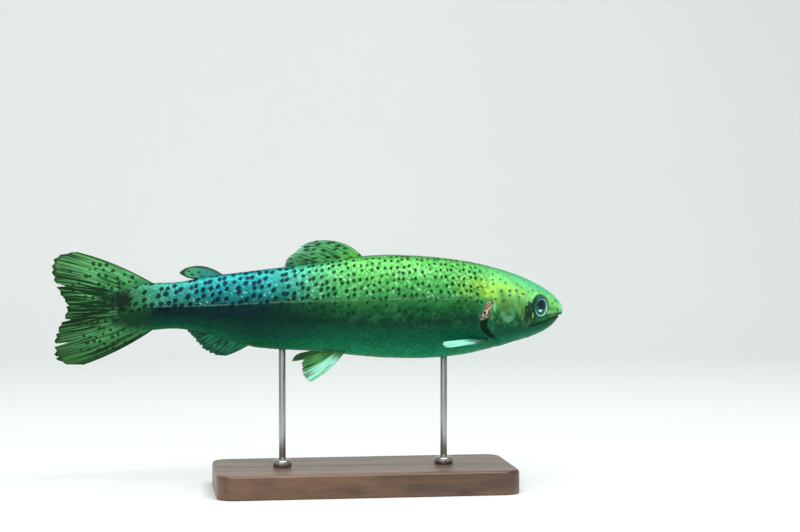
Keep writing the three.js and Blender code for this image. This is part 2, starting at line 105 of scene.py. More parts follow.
def profile(column):
    """One column of STATIONS as a smooth curve along the fish, blunt at the snout."""
    curve = smooth(np.sqrt(STATIONS[:, 0]), STATIONS[:, column])
    return lambda s: curve(np.sqrt(np.maximum(s, 0)))


back_at, waist_at, belly_at, half_at = (profile(column) for column in (1, 2, 3, 4))
lateral_at, mouth_at = (smooth(*np.array(line).T) for line in (LATERAL_LINE, MOUTH_LINE))
# These two lines stand upright, so they give s for each height.
cover_at, rim_at = (smooth(*np.array(sorted((z, s) for s, z in line)).T)
                    for line in (COVER_EDGE, SHOULDER_RIM))


def bend_at(s):
    """How far across the fish's middle plane lies at s."""
    head = HEAD_BEND["away"] * np.maximum(0, (HEAD_BEND["from"] - s) / HEAD_BEND["from"]) ** 2
    tail = TAIL_BEND["away"] * np.maximum(0, (s - TAIL_BEND["from"]) / TAIL_BEND["over"]) ** 2
    return head + tail


def place(points):
    """Fish coordinates in mm to the part's own frame in metres."""
    s, y, z = np.moveaxis(np.asarray(points, float), -1, 0)
    return np.stack([SNOUT_X - s, y + bend_at(s), SNOUT_HEIGHT + z], -1) / 1000


def step(x, low, high):
    """0 below low, 1 above high, eased between. It runs the other way if low is above high."""
    t = np.clip((x - low) / (high - low), 0, 1)
    return t * t * (3 - 2 * t)


def bell(x, width):
    return np.exp(-(x / width) ** 2)


def unit(vectors):
    return vectors / np.maximum(np.linalg.norm(vectors, axis=-1, keepdims=True), 1e-12)


def section(s, angle):
    """y and z of the body's surface at s. The angle is 0 at the right waist and 90 degrees at the back."""
    up = np.sin(angle)
    power = np.where(up > 0, 2 / SQUARENESS["above"], 2 / SQUARENESS["below"])
    reach = np.where(up > 0, back_at(s) - waist_at(s), waist_at(s) - belly_at(s))
    across = np.cos(angle)
    y = -half_at(s) * np.sign(across) * np.abs(across) ** power
    return y, waist_at(s) + reach * np.sign(up) * np.abs(up) ** power


def body_surface(s, angle):
    y, z = section(s, angle)
    return np.stack([s + 0 * y, y, z], -1)


def path_gap(s, z, path):
    """The distance of points from a line in side view."""
    best = np.full(np.shape(s), 1e9)
    path = np.asarray(path, float)
    for (s0, z0), (s1, z1) in zip(path[:-1], path[1:]):
        length = (s1 - s0) ** 2 + (z1 - z0) ** 2
        t = np.clip(((s - s0) * (s1 - s0) + (z - z0) * (z1 - z0)) / length, 0, 1)
        best = np.minimum(best, np.hypot(s - s0 - t * (s1 - s0), z - z0 - t * (z1 - z0)))
    return best


def softened(path, count=40):
    """A path with its corners rounded off."""
    path = np.asarray(path, float)
    run = np.r_[0, np.cumsum(np.hypot(*np.diff(path, axis=0).T))]
    at = np.linspace(0, run[-1], count)
    return np.stack([smooth(run, path[:, 0])(at), smooth(run, path[:, 1])(at)], -1)


def inside(s, z, outline):
    """How deep points are inside a closed outline in side view, negative outside."""
    outline = np.asarray(outline, float)
    closed = np.vstack([outline, outline[:1]])
    odd = np.zeros(np.shape(s), bool)
    for (s0, z0), (s1, z1) in zip(closed[:-1], closed[1:]):
        crosses = (z0 > z) != (z1 > z)
        odd ^= crosses & (s < (s1 - s0) * (z - z0) / (z1 - z0 + 1e-12) + s0)
    return np.where(odd, 1, -1) * path_gap(s, z, closed)


# ---------------------------------------------------------------- making meshes

def mesh_piece(name, points, faces, maps=(), is_sharp=None):
    """A mesh object from points in metres and a list of face arrays, with UV maps given per point or
    per face corner. is_sharp tells from the two ends of each edge which edges stay sharp."""
    mesh = bpy.data.meshes.new(name)
    faces = [np.asarray(group, np.int32) for group in faces if len(group)]
    corners = np.concatenate([group.ravel() for group in faces])
    sizes = np.concatenate([np.full(len(group), group.shape[1], np.int32) for group in faces])
    mesh.vertices.add(len(points))
    mesh.vertices.foreach_set("co", np.asarray(points, np.float32).ravel())
    mesh.loops.add(len(corners))
    mesh.loops.foreach_set("vertex_index", corners)
    mesh.polygons.add(len(sizes))
    mesh.polygons.foreach_set("loop_start", np.r_[0, np.cumsum(sizes)[:-1]].astype(np.int32))
    mesh.polygons.foreach_set("use_smooth", np.ones(len(sizes), bool))
    mesh.update(calc_edges=True)
    for map_name, uv in dict(maps).items():
        values = np.asarray(uv, np.float32)
        values = values[corners] if len(values) == len(points) else values
        mesh.uv_layers.new(name=map_name).data.foreach_set("uv", values.ravel())
    mesh.validate()
    piece = bpy.data.objects.new(name, mesh)
    bpy.context.scene.collection.objects.link(piece)
    if is_sharp:
        ends = np.zeros(2 * len(mesh.edges), np.int32)
        mesh.edges.foreach_get("vertices", ends)
        sharp = mesh.attributes.new("sharp_edge", "BOOLEAN", "EDGE")
        sharp.data.foreach_set("value", is_sharp(ends.reshape(-1, 2)))
    return piece


def finished(piece, material, nodes=()):
    """Gives a piece its material and slot, hangs it from the root body, and hides the nodes it stands in
    for.
    """
    piece.data.materials.append(material)
    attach(piece, "root")
    if nodes:
        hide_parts(*nodes)


def tube_faces(rings, sides, first=0):
    """Quads between rings of points, each ring closed."""
    ring, side = np.meshgrid(np.arange(rings - 1), np.arange(sides), indexing="ij")
    a, b = ring * sides + side, ring * sides + (side + 1) % sides
    return np.stack([a, b, b + sides, a + sides], -1).reshape(-1, 4) + first


def sheet_faces(rows, columns, first=0, turned=False):
    """Quads of a grid of points, one row after another."""
    row, column = np.meshgrid(np.arange(rows - 1), np.arange(columns - 1), indexing="ij")
    a = row * columns + column
    quads = np.stack([a, a + 1, a + columns + 1, a + columns], -1).reshape(-1, 4) + first
    return quads[:, ::-1] if turned else quads


def slab_faces(rows, columns, turned=False):
    """Faces of a closed slab: a grid of points for each of its two sides, and the walls round its rim."""
    size = rows * columns
    r, c = np.arange(rows - 1) * columns, np.arange(columns - 1)
    last_row, last_column = size - columns, columns - 1
    walls = [(c + 1, c), (last_row + c, last_row + c + 1), (r, r + columns),
             (r + columns + last_column, r + last_column)]
    faces = [sheet_faces(rows, columns), sheet_faces(rows, columns, size, True)]
    faces += [np.stack([a, b, b + size, a + size], -1) for a, b in walls]
    return [group[:, ::-1] for group in faces] if turned else faces


# ---------------------------------------------------------------- shader arithmetic

class Value:
    """A shader socket that takes part in arithmetic."""

    def __init__(self, finish, socket):
        self.finish, self.socket = finish, socket

    def maths(self, operation, *values):
        return self.finish.node("ShaderNodeMath", {"operation": operation}, *values)[0]

    def __add__(self, other):
        return self.maths("ADD", self, other)

    def __sub__(self, other):
        return self.maths("SUBTRACT", self, other)

    def __rsub__(self, other):
        return self.maths("SUBTRACT", other, self)

    def __mul__(self, other):
        return self.maths("MULTIPLY", self, other)

    def __truediv__(self, other):
        return self.maths("DIVIDE", self, other)

    def __pow__(self, other):
        return self.maths("POWER", self, other)

    def __lt__(self, other):
        return self.maths("LESS_THAN", self, other)

    __radd__, __rmul__ = __add__, __mul__

    def size(self):
        return self.maths("ABSOLUTE", self)

    def ease(self, low, high):
        """0 at low, 1 at high and eased between, or the other way round if low is above high."""
        eased = {"interpolation_type": "SMOOTHSTEP"}
        return self.finish.node("ShaderNodeMapRange", eased, self, low, high)[0]


class Finish:
    """A material and its nodes."""

    def __init__(self, name, **fixed):
        self.material = bpy.data.materials.new(name)
        self.material.use_nodes = True
        self.nodes = self.material.node_tree.nodes
        self.links = self.material.node_tree.links
        self.surface = self.nodes["Principled BSDF"]
        for socket, value in fixed.items():
            self.surface.inputs[socket.replace("_", " ")].default_value = value

    def node(self, kind, settings=None, *values, **named):
        """Adds a node, sets it up, fills its sockets with numbers or links, and gives its outputs."""
        node = self.nodes.new(kind)
        for setting, choice in (settings or {}).items():
            if setting == "stops":
                while len(node.color_ramp.elements) < len(choice):
                    node.color_ramp.elements.new(0.5)
                for element, (position, colour) in zip(node.color_ramp.elements, choice):
                    element.position, element.color = position, (*colour, 1)
            else:
                setattr(node, setting, choice)
        sockets = [(node.inputs[i], value) for i, value in enumerate(values)]
        sockets += [(node.inputs[name.replace("_", " ")], value) for name, value in named.items()]
        for socket, value in sockets:
            self.fill(socket, value)
        return [Value(self, output) for output in node.outputs]

    def fill(self, socket, value):
        if isinstance(value, Value):
            self.links.new(value.socket, socket)
        elif value is not None:
            socket.default_value = (*value, 1) if socket.type == "RGBA" and len(value) == 3 else value

    def feed(self, **sockets):
        """Links what varies over the surface."""
        for name, value in sockets.items():
            self.fill(self.surface.inputs[name.replace("_", " ")], value)

    def mix(self, factor, below, above, how="MIX"):
        """A colour between two others, or one laid over the other."""
        numbers_and_vectors = [None] * 5  # the node's sockets that colours don't use
        settings = {"data_type": "RGBA", "blend_type": how}
        return self.node("ShaderNodeMix", settings, factor, *numbers_and_vectors, below, above)[2]

    def map(self, name):
        """The two numbers of a UV map."""
        vector = self.node("ShaderNodeUVMap", {"uv_map": name})[0]
        return self.node("ShaderNodeSeparateXYZ", None, vector)[:2]

    def vector(self, x, y, z=0.0):
        return self.node("ShaderNodeCombineXYZ", None, x, y, z)[0]

    def noise(self, where, scale, detail=3.0, roughness=0.55):
        return self.node("ShaderNodeTexNoise", None, Vector=where, Scale=scale, Detail=detail,
                         Roughness=roughness)[0]

    def cells(self, where, scale, randomness=1.0):
        """Distance from the nearest of scattered points, and two random numbers of that point."""
        found = self.node("ShaderNodeTexVoronoi", {"voronoi_dimensions": "2D"}, Vector=where, Scale=scale,
                          Randomness=randomness)
        red, green, _ = self.node("ShaderNodeSeparateColor", None, found[1])
        return found[0], red, green

    def ramp(self, factor, stops):
        return self.node("ShaderNodeValToRGB", {"stops": stops}, factor)[0]

    def bump(self, height, depth, strength):
        """Bumps of a depth in metres."""
        return self.node("ShaderNodeBump", None, Strength=strength, Distance=depth, Height=height)[0]

    def here(self):
        """A place in the part's own frame, in metres."""
        return self.node("ShaderNodeTexCoord")[3]

    def side_view(self):
        """Distance behind the snout and height above it, in mm."""
        x, _, z = self.node("ShaderNodeSeparateXYZ", None, self.here())
        return SNOUT_X - x * 1000, z * 1000 - SNOUT_HEIGHT


def paint(red, green, blue):
    """A colour given as it looks, in 0 to 255."""
    def linear(channel):
        c = channel / 255
        return c / 12.92 if c <= 0.04045 else ((c + 0.055) / 1.055) ** 2.4
    return tuple(linear(channel) for channel in (red, green, blue))


def band(*stops):
    """The colours of a ramp, each given as (position, red, green, blue)."""
    return [(position, paint(*colour)) for position, *colour in stops]


def oval(x, y, middle_x, middle_y, wide, high):
    """0 in the middle of an oval, 1 on its edge, and rising as a square."""
    return ((x - middle_x) / wide) ** 2 + ((y - middle_y) / high) ** 2


# ---------------------------------------------------------------- the trout's colours

# Each band runs from the belly, 0, through the lateral line, 0.5, to the middle of the back, 1.
# The dark lower flank under the lateral line is painted shade from light above, and the bright cyan high on
# the rear back is partly a painted reflection.
HEAD_COLOUR_AND_SHADE_BAND = band(
    (0.0, 36, 130, 96), (0.14, 12, 80, 56), (0.3, 14, 72, 46), (0.42, 44, 118, 68), (0.54, 88, 170, 88),
    (0.68, 124, 206, 110), (0.86, 114, 204, 114), (0.95, 90, 188, 110), (1.0, 52, 132, 80),
)
FRONT_COLOUR_AND_SHADE_BAND = band(
    (0.0, 44, 162, 114), (0.14, 12, 102, 70), (0.32, 10, 58, 40), (0.44, 26, 96, 50), (0.5, 50, 124, 66),
    (0.56, 72, 166, 92), (0.72, 92, 190, 96), (0.86, 96, 194, 96), (0.95, 106, 208, 102),
    (1.0, 58, 146, 70),
)
REAR_COLOUR_AND_SHADE_BAND = band(
    (0.0, 24, 108, 72), (0.14, 5, 70, 52), (0.34, 4, 40, 38), (0.475, 6, 42, 42), (0.51, 16, 84, 88),
    (0.64, 24, 132, 134), (0.84, 18, 158, 168), (0.95, 24, 188, 186), (1.0, 14, 118, 128),
)
SPOT_COLOUR, REAR_SPOT_COLOUR, LOW_SPOT_COLOUR = paint(14, 44, 24), paint(2, 32, 48), paint(1, 14, 14)
TAIL_ROOT_COLOUR = paint(50, 122, 70)
SPOT_SPACING = 3.9

# Patches of the head's colour: s and z, how wide and high, how strong, and the red, green and blue.
# The dark patch at s 21.8, z -0.8 is painted shade in the hollow behind the eye.
HEAD_PATCHES = [
    (30.0, 3.6, 8.0, 5.4, 0.5, 92, 140, 68), (24.4, 1.2, 3.0, 4.0, 0.45, 96, 128, 48),
    (38.0, 2.4, 3.4, 4.4, 0.5, 84, 104, 44), (36.0, 13.2, 8.0, 3.0, 0.4, 160, 222, 70),
    (27.0, 10.4, 1.7, 3.0, 0.42, 196, 232, 60), (32.0, 10.6, 1.7, 2.6, 0.36, 188, 226, 60),
    (42.4, 7.6, 3.6, 3.0, 0.4, 150, 204, 60), (22.6, 6.0, 1.7, 6.6, 0.6, 132, 220, 140),
    (39.4, 10.6, 2.4, 3.4, 0.5, 40, 112, 74), (35.4, -4.6, 3.6, 2.6, 0.6, 104, 182, 140),
    (38.6, -1.6, 1.6, 3.4, 0.3, 110, 170, 110), (21.8, -0.8, 3.6, 6.8, 2.2, 4, 44, 36),
    (21.2, 1.6, 0.7, 1.6, 0.7, 120, 92, 32), (44.0, 3.6, 1.3, 4.4, 0.6, 150, 216, 152),
    (8.0, -1.2, 5.0, 1.3, 0.5, 140, 214, 118), (5.4, -3.6, 4.6, 1.0, 0.5, 120, 112, 66),
    (1.2, 1.8, 1.8, 3.6, 0.6, 140, 236, 176), (9.0, 7.0, 3.0, 3.4, 0.4, 132, 214, 110),
    (12.0, -5.6, 7.0, 1.3, 0.55, 62, 104, 50), (45.0, -8.0, 1.4, 6.0, 0.4, 30, 112, 84),
]
# Painted shade in the hollow behind the eye, and the thin yellow line in it, in the same terms.
EYE_SHADE_AND_LINE = [(21.0, -0.6, 2.3, 5.6, 0.8, 8, 50, 36), (19.9, -2.8, 0.5, 2.4, 0.8, 150, 180, 60)]
# Dark dots of the head: where, and how wide.
# The two dots at the nostrils, (4.9, 5.1) and (6.9, 3.7), are painted shade in them.
HEAD_DOTS = [
    (48.5, 19.6, 0.8), (44.6, 18.4, 0.7), (43.8, 21.4, 0.6), (44.3, 16.0, 0.8), (39.8, 18.6, 0.6),
    (36.6, 16.4, 0.7), (45.0, 11.4, 0.8), (39.4, 11.8, 0.9), (34.3, 11.8, 0.85), (30.0, 12.0, 0.75),
    (34.4, 9.2, 0.8), (26.0, 9.9, 0.75), (28.4, 8.0, 0.6), (38.2, 6.0, 0.85), (43.4, 7.2, 0.7),
    (29.4, 15.6, 0.5), (22.6, 11.2, 0.5), (26.6, 13.6, 0.45), (19.4, 12.0, 0.45), (4.9, 5.1, 0.55),
    (3.4, 0.4, 0.62), (6.9, 3.7, 0.5), (15.6, 10.8, 0.4), (50.5, 6.5, 0.8),
]


def tinted(finish, amount, colour, tint):
    return finish.mix(amount, colour, finish.mix(1.0, colour, tint, "MULTIPLY"))


def darker(finish, amount, colour):
    return tinted(finish, amount, colour, (0.4, 0.46, 0.4))


def tail_root(finish, colour):
    """The dark blotch where the tail stalk runs out into the fin, and the dark underside of the stalk."""
    along, z = finish.side_view()
    ragged = finish.noise(finish.here(), 420.0, 4.0, 0.6)
    for at_s, at_z, wide, high, strength in ((256, -3.5, 15, 7.2, 0.78), (261.4, 7.6, 7.8, 7.8, 1.0)):
        away = oval(along, z, at_s, at_z, wide, high) + (ragged - 0.5) * 1.5
        colour = finish.mix(away.ease(1.2, 0.1) * strength, colour, paint(9, 36, 26))
    return colour


def trout_colour(finish):
    """The trout's markings, with the painted shade of its bands, the same on bare skin and on scales.

    It gives the colour, the spots and their colour, then what tells where on the body a place is: s and
    the arc from the middle of the back in mm, the level from belly to back, both as a vector, and clouds.
    """
    (along, from_back), (rise, from_line) = finish.map("BodyMap"), finish.map("RiseMap")
    s, arc, line_arc = along * 100, from_back * 100, from_line * 100
    where = finish.vector(s, arc)
    cloud = finish.noise(where, 0.11, 4.0, 0.62)
    ripple = finish.noise(where, 0.9, 3.0, 0.6)
    level = rise + (cloud - 0.5) * 0.07 + (ripple - 0.5) * 0.03
    colour = finish.mix(s.ease(122, 186), finish.ramp(level, FRONT_COLOUR_AND_SHADE_BAND), finish.ramp(level, REAR_COLOUR_AND_SHADE_BAND))
    colour = finish.mix(s.ease(58, 42), colour, finish.ramp(level, HEAD_COLOUR_AND_SHADE_BAND))
    # a mint wash over the snout and brow
    brow = s.ease(40, 16) * level.ease(0.72, 0.92)
    colour = finish.mix(brow * 0.55, colour, paint(76, 190, 146))
    # a greener, paler tail stalk
    colour = finish.mix(s.ease(206, 250) * level.ease(0.48, 0.6) * 0.65, colour, paint(78, 160, 112))
    # a yellow wash on the shoulder
    nape = s.ease(30, 46) * s.ease(74, 50) * level.ease(0.5, 0.6) * level.ease(0.88, 0.7)
    colour = finish.mix(nape * (cloud.ease(0.3, 0.6) * 0.42 + 0.2), colour, paint(166, 216, 58))
    # soft mottling, and pale clouds under the lateral line
    colour = darker(finish, cloud.ease(0.5, 0.36) * 0.28, colour)
    pale = finish.noise(where, 0.17, 5.0, 0.6).ease(0.46, 0.66)
    pale = pale * level.ease(0.2, 0.4) * level.ease(0.5, 0.46) * s.ease(150, 110)
    colour = finish.mix(pale * 0.32, colour, paint(70, 146, 92))
    # a pale thread along the lateral line
    thread = (line_arc.size() + (ripple - 0.5) * 0.8).ease(0.6, 0.1) * s.ease(52, 60)
    colour = finish.mix(thread * 0.28, colour, paint(134, 168, 120))
    # the dark blotch at the root of the tail
    colour = tail_root(finish, finish.mix(s.ease(240, 256) * 0.8, colour, TAIL_ROOT_COLOUR))
    # spots, bigger towards the tail and taller than they are long
    wobble = finish.noise(where, 0.5, 2.0)
    ragged = finish.noise(where, 1.1, 2.0)
    grid = finish.vector(s * 0.304 - s * s * 0.00015 + wobble * 0.3, arc * 0.226 + s * 0.03 + wobble * 0.24)
    distance, growth, chance = finish.cells(grid, 1.0, 0.54)
    far = distance * SPOT_SPACING + (ragged - 0.5) * 0.7
    radius = growth * 0.34 + s.ease(100, 190) * 0.4 - s.ease(246, 258) * 0.25 + 0.74
    above = level.ease(0.485, 0.53)
    below = level.ease(0.26, 0.44) * (0.4 + s.ease(200, 240) * 0.45)
    kept = chance < (above * (0.9 - s.ease(130, 190) * 0.1) + (1 - above) * below)
    spot = (far - radius).ease(0.24, -0.2) * kept * s.ease(46, 54)
    spot = spot * (above * 0.12 + 0.82)
    spot_colour = finish.mix(s.ease(125, 185) * s.ease(250, 232), SPOT_COLOUR, REAR_SPOT_COLOUR)
    spot_colour = finish.mix((1 - above) * s.ease(175, 235) * 0.75, spot_colour, LOW_SPOT_COLOUR)
    return colour, spot, spot_colour, s, arc, level, where, cloud


def skin_finish():
    finish = Finish("trout_skin", Specular_IOR_Level=0.06, Coat_Roughness=0.25)
    colour, spot, spot_colour, s, arc, level, where, _ = trout_colour(finish)
    along, z = finish.side_view()
    fleck = finish.noise(where, 1.4, 4.0, 0.65)
    drift = finish.node("ShaderNodeTexNoise", None, Vector=where, Scale=0.42, Detail=3.0)[1]
    drift_s, drift_z, _ = finish.node("ShaderNodeSeparateColor", None, drift)
    for at_s, at_z, wide, high, strength, *tone in HEAD_PATCHES:
        ahead = (along - at_s) / wide + (drift_s - 0.5) * 1.1
        up = (z - at_z) / high + (drift_z - 0.5) * 1.1
        away = ahead ** 2 + up ** 2 + (fleck - 0.5) * 0.6
        colour = finish.mix(away.ease(1.25, 0.0) * strength, colour, paint(*tone))
    on_head = along.ease(52, 46)
    cheek = on_head * along.ease(14, 22) * z.ease(-14, -1) * z.ease(15, 9)
    strokes = finish.noise(finish.vector(along * 0.4, z * 0.19), 1.0, 3.0, 0.55)
    colour = finish.mix(strokes.ease(0.48, 0.68) * cheek * 0.36, colour, paint(128, 200, 122))
    colour = darker(finish, strokes.ease(0.5, 0.34) * cheek * 0.34, colour)
    brown = finish.noise(finish.vector(along, z), 0.24, 3.0, 0.6)
    colour = finish.mix(brown.ease(0.5, 0.66) * cheek * 0.4, colour, paint(96, 116, 50))
    colour = darker(finish, fleck.ease(0.52, 0.3) * 0.26 * on_head, colour)
    colour = tinted(finish, fleck.ease(0.5, 0.72) * 0.26 * on_head, colour, (1.9, 1.7, 1.7))
    for at_s, at_z, wide, high, strength, *tone in EYE_SHADE_AND_LINE:
        away = oval(along, z, at_s, at_z, wide, high) + (fleck - 0.5) * 0.6
        colour = finish.mix(away.ease(1.3, 0.4) * strength, colour, paint(*tone))
    for at_s, at_z, size in HEAD_DOTS:
        away = ((along - at_s) ** 2 + (z - at_z) ** 2) ** 0.5 + (fleck - 0.5) * 1.2
        colour = finish.mix((away - size).ease(0.3, -0.25) * 0.82, colour, paint(40, 74, 30))
    # freckles on the crown
    spacing = 2.3
    distance, chance, _ = finish.cells(finish.vector(s + (fleck - 0.5) * 1.2, arc), 1 / spacing, 1.0)
    freckles = (distance * spacing).ease(0.7, 0.35) * (chance < 0.6) * level.ease(0.74, 0.92) * on_head
    colour = finish.mix(freckles * 0.6, colour, paint(34, 104, 68))
    colour = finish.mix(spot, colour, spot_colour)
    grain = finish.noise(where, 3.2, 4.0, 0.65)
    finish.feed(
        Base_Color=colour,
        Roughness=0.42 + (fleck - 0.5) * 0.3,
        Metallic=level.ease(0.35, 0.6) * 0.15,
        Coat_Weight=level.ease(0.35, 0.75) * 0.18,
        Normal=finish.bump(grain + fleck, 0.00022, 0.5),
    )
    return finish.material


def scale_finish():
    finish = Finish("trout_scales", Specular_IOR_Level=0.06, Coat_Roughness=0.22)
    colour, spot, spot_colour, s, _, level, _, cloud = trout_colour(finish)
    tone, edge = finish.map("ScaleMap")
    upper = level.ease(0.44, 0.56)
    rims = edge.ease(0.3, 1.0) * (0.6 + upper * 0.3) * (s.ease(42, 66) * 0.6 + 0.4)
    colour = darker(finish, rims, colour)
    # painted sheen: lighter middles on some scales, stronger on the upper flank
    shine = tone.ease(0.3, 0.95) * (1 - edge) * (0.5 + upper * 0.35)
    colour = tinted(finish, shine, colour, (2.6, 2.1, 2.2))
    colour = darker(finish, tone.ease(0.5, 0.1) * 0.4, colour)
    # painted highlights: pale glints on scattered scales of the upper flank
    glint = tone.ease(0.9, 0.94) * level.ease(0.5, 0.56) * level.ease(0.86, 0.74) * edge.ease(1.0, 0.3)
    glint = glint * cloud.ease(0.4, 0.56) * s.ease(250, 236)
    colour = finish.mix(spot, colour, spot_colour)
    colour = finish.mix(glint * (1 - spot) * 0.8, colour, paint(214, 250, 216))
    finish.feed(
        Base_Color=colour,
        Roughness=0.46 - tone * 0.16,
        Metallic=level.ease(0.35, 0.6) * 0.15 + glint * 0.3,
        Coat_Weight=level.ease(0.35, 0.75) * (1 - spot) * 0.18,
    )
    return finish.material


# ---------------------------------------------------------------- the skin

def rise_of(s, z):
    """0 at the belly, 0.5 at the lateral line and 1 at the back."""
    line = lateral_at(s)
    above = (z - line) / np.maximum(back_at(s) - line, 0.5)
    below = (line - z) / np.maximum(line - belly_at(s), 0.5)
    return np.clip(np.where(z > line, 0.5 + 0.5 * above, 0.5 - 0.5 * below), 0, 1)


def eye_frame(side):
    """The middle of the eye on the head's surface, and the direction it looks in."""
    middle = np.array([EYE["s"], side * half_at(EYE["s"]), EYE["z"]])
    look = np.array([-math.sin(EYE["turn"]), side * math.cos(EYE["turn"]), 0.0])
    return middle, look


def head_relief(points):
    """How far the head's skin stands out of, or into, the plain body shape, in mm."""
    s, y, z = np.moveaxis(points, -1, 0)
    relief = np.zeros_like(s)
    from_mouth = (z - mouth_at(s)) * 0.95
    in_mouth = step(s, 22.6, 20.6)
    relief -= in_mouth * 1.05 * bell(from_mouth, 0.45)
    relief += in_mouth * 0.22 * bell(from_mouth + 1.1, 0.55)
    relief += 0.55 * step(s, 3.5, 0.6) * step(from_mouth, 0.1, 0.8)
    relief -= 0.35 * step(s, 7, 1.5) * step(from_mouth, 0.1, -0.5)
    jaw = inside(s, z, UPPER_JAW)
    relief += 0.5 * step(jaw, -0.15, 0.7) - 0.3 * bell(jaw + 0.3, 0.4)
    # cheek bones
    cheek = path_gap(s, z, softened(CHEEK_LINE))
    relief -= 0.42 * bell(cheek, 0.55)
    relief += 0.26 * bell(cheek - 1.3, 0.9)
    relief -= 0.32 * bell(path_gap(s, z, softened(COVER_SEAM)), 0.5)
    relief -= 0.22 * bell(path_gap(s, z, JAW_CREASE), 0.6)
    relief -= 0.2 * bell(path_gap(s, z, BROW_CREASE), 0.6)
    # throat rays, the folds of skin between the jaw and the gill cover's lower edge
    folds = np.cos((z * 0.94 + s * 0.34) * 2 * math.pi / 1.7)
    relief += 0.13 * folds * step(s, 24, 30) * step(s, 44, 39) * step(z, -14.5, -17)
    # the gill cleft, behind the cover and in front of the shoulder
    behind, ahead = s - cover_at(z), rim_at(z) - s
    reach = step(z, 7.8, 4.4) * step(z, -19.4, -15.4)
    relief += 0.25 * reach * bell(behind + 1.0, 0.9)
    relief -= 2.2 * reach * step(behind, 0.0, 0.55) * step(ahead, 0.0, 0.6)
    relief += 0.12 * reach * bell(ahead + 0.7, 0.7)
    # nostrils, a pair on each side with a flap between
    for nostril in NOSTRILS:
        from_nostril = np.hypot(s - nostril["at"][0], z - nostril["at"][1])
        relief -= nostril["deep"] * bell(from_nostril, nostril["size"])
        relief += 0.14 * bell(from_nostril - 1.0, 0.35)
    # the sockets, with a soft rim
    for side in (-1, 1):
        middle, look = eye_frame(side)
        offset = points - middle
        out = offset @ look
        across = offset - out[..., None] * look
        r = np.hypot(np.hypot(across[..., 0], across[..., 1]), across[..., 2] / EYE["tall"])
        near = y * side > 0
        sunk = step(r, EYE["opening"] + 0.8, EYE["opening"]) + 3.4 * step(r, EYE["opening"] + 0.1, 4.5)
        rim_up = 0.3 * bell(r - EYE["opening"] - 1.2, 0.6) * (1 + 0.6 * step(z, 2, 7))
        relief = np.where(near, relief * step(r, 5, 6.4) - sunk + rim_up, relief)
    return relief


def skin_grid(s, angles):
    """Points of the skin, in fish coordinates, with the unit directions that stand out of it."""
    rings, turns = np.meshgrid(s, angles, indexing="ij")
    surface = body_surface(rings, turns)
    ds = body_surface(rings + 0.05, turns) - body_surface(np.maximum(rings - 0.05, 0), turns)
    da = body_surface(rings, turns + 0.01) - body_surface(rings, turns - 0.01)
    return surface, unit(np.cross(ds, da))


def coat_cover(s, z):
    """Where the scales lie: 0 on the head, 1 behind the shoulder."""
    front = np.where(z > 9, 45.5 - 4.5 * step(z, 12, 28), np.where(z < -20.5, 40, rim_at(z)))
    front = front + 0.9 * np.sin(z * 1.3) * np.sin(z * 0.47 + 1)
    return step(s - front, 0.2, 3.0)


def arc_tables(s, count=400):
    """Angles from belly to back on the right side, and the arc in mm up to each from the lateral line
    and from the middle of the back."""
    angles = np.linspace(-math.pi / 2, math.pi / 2, count)
    y, z = section(np.full(count, float(s)), angles)
    run = np.r_[0, np.cumsum(np.hypot(np.diff(y), np.diff(z)))]
    line = np.interp(lateral_at(s), z, run)
    return angles, run - line, run[-1] - run


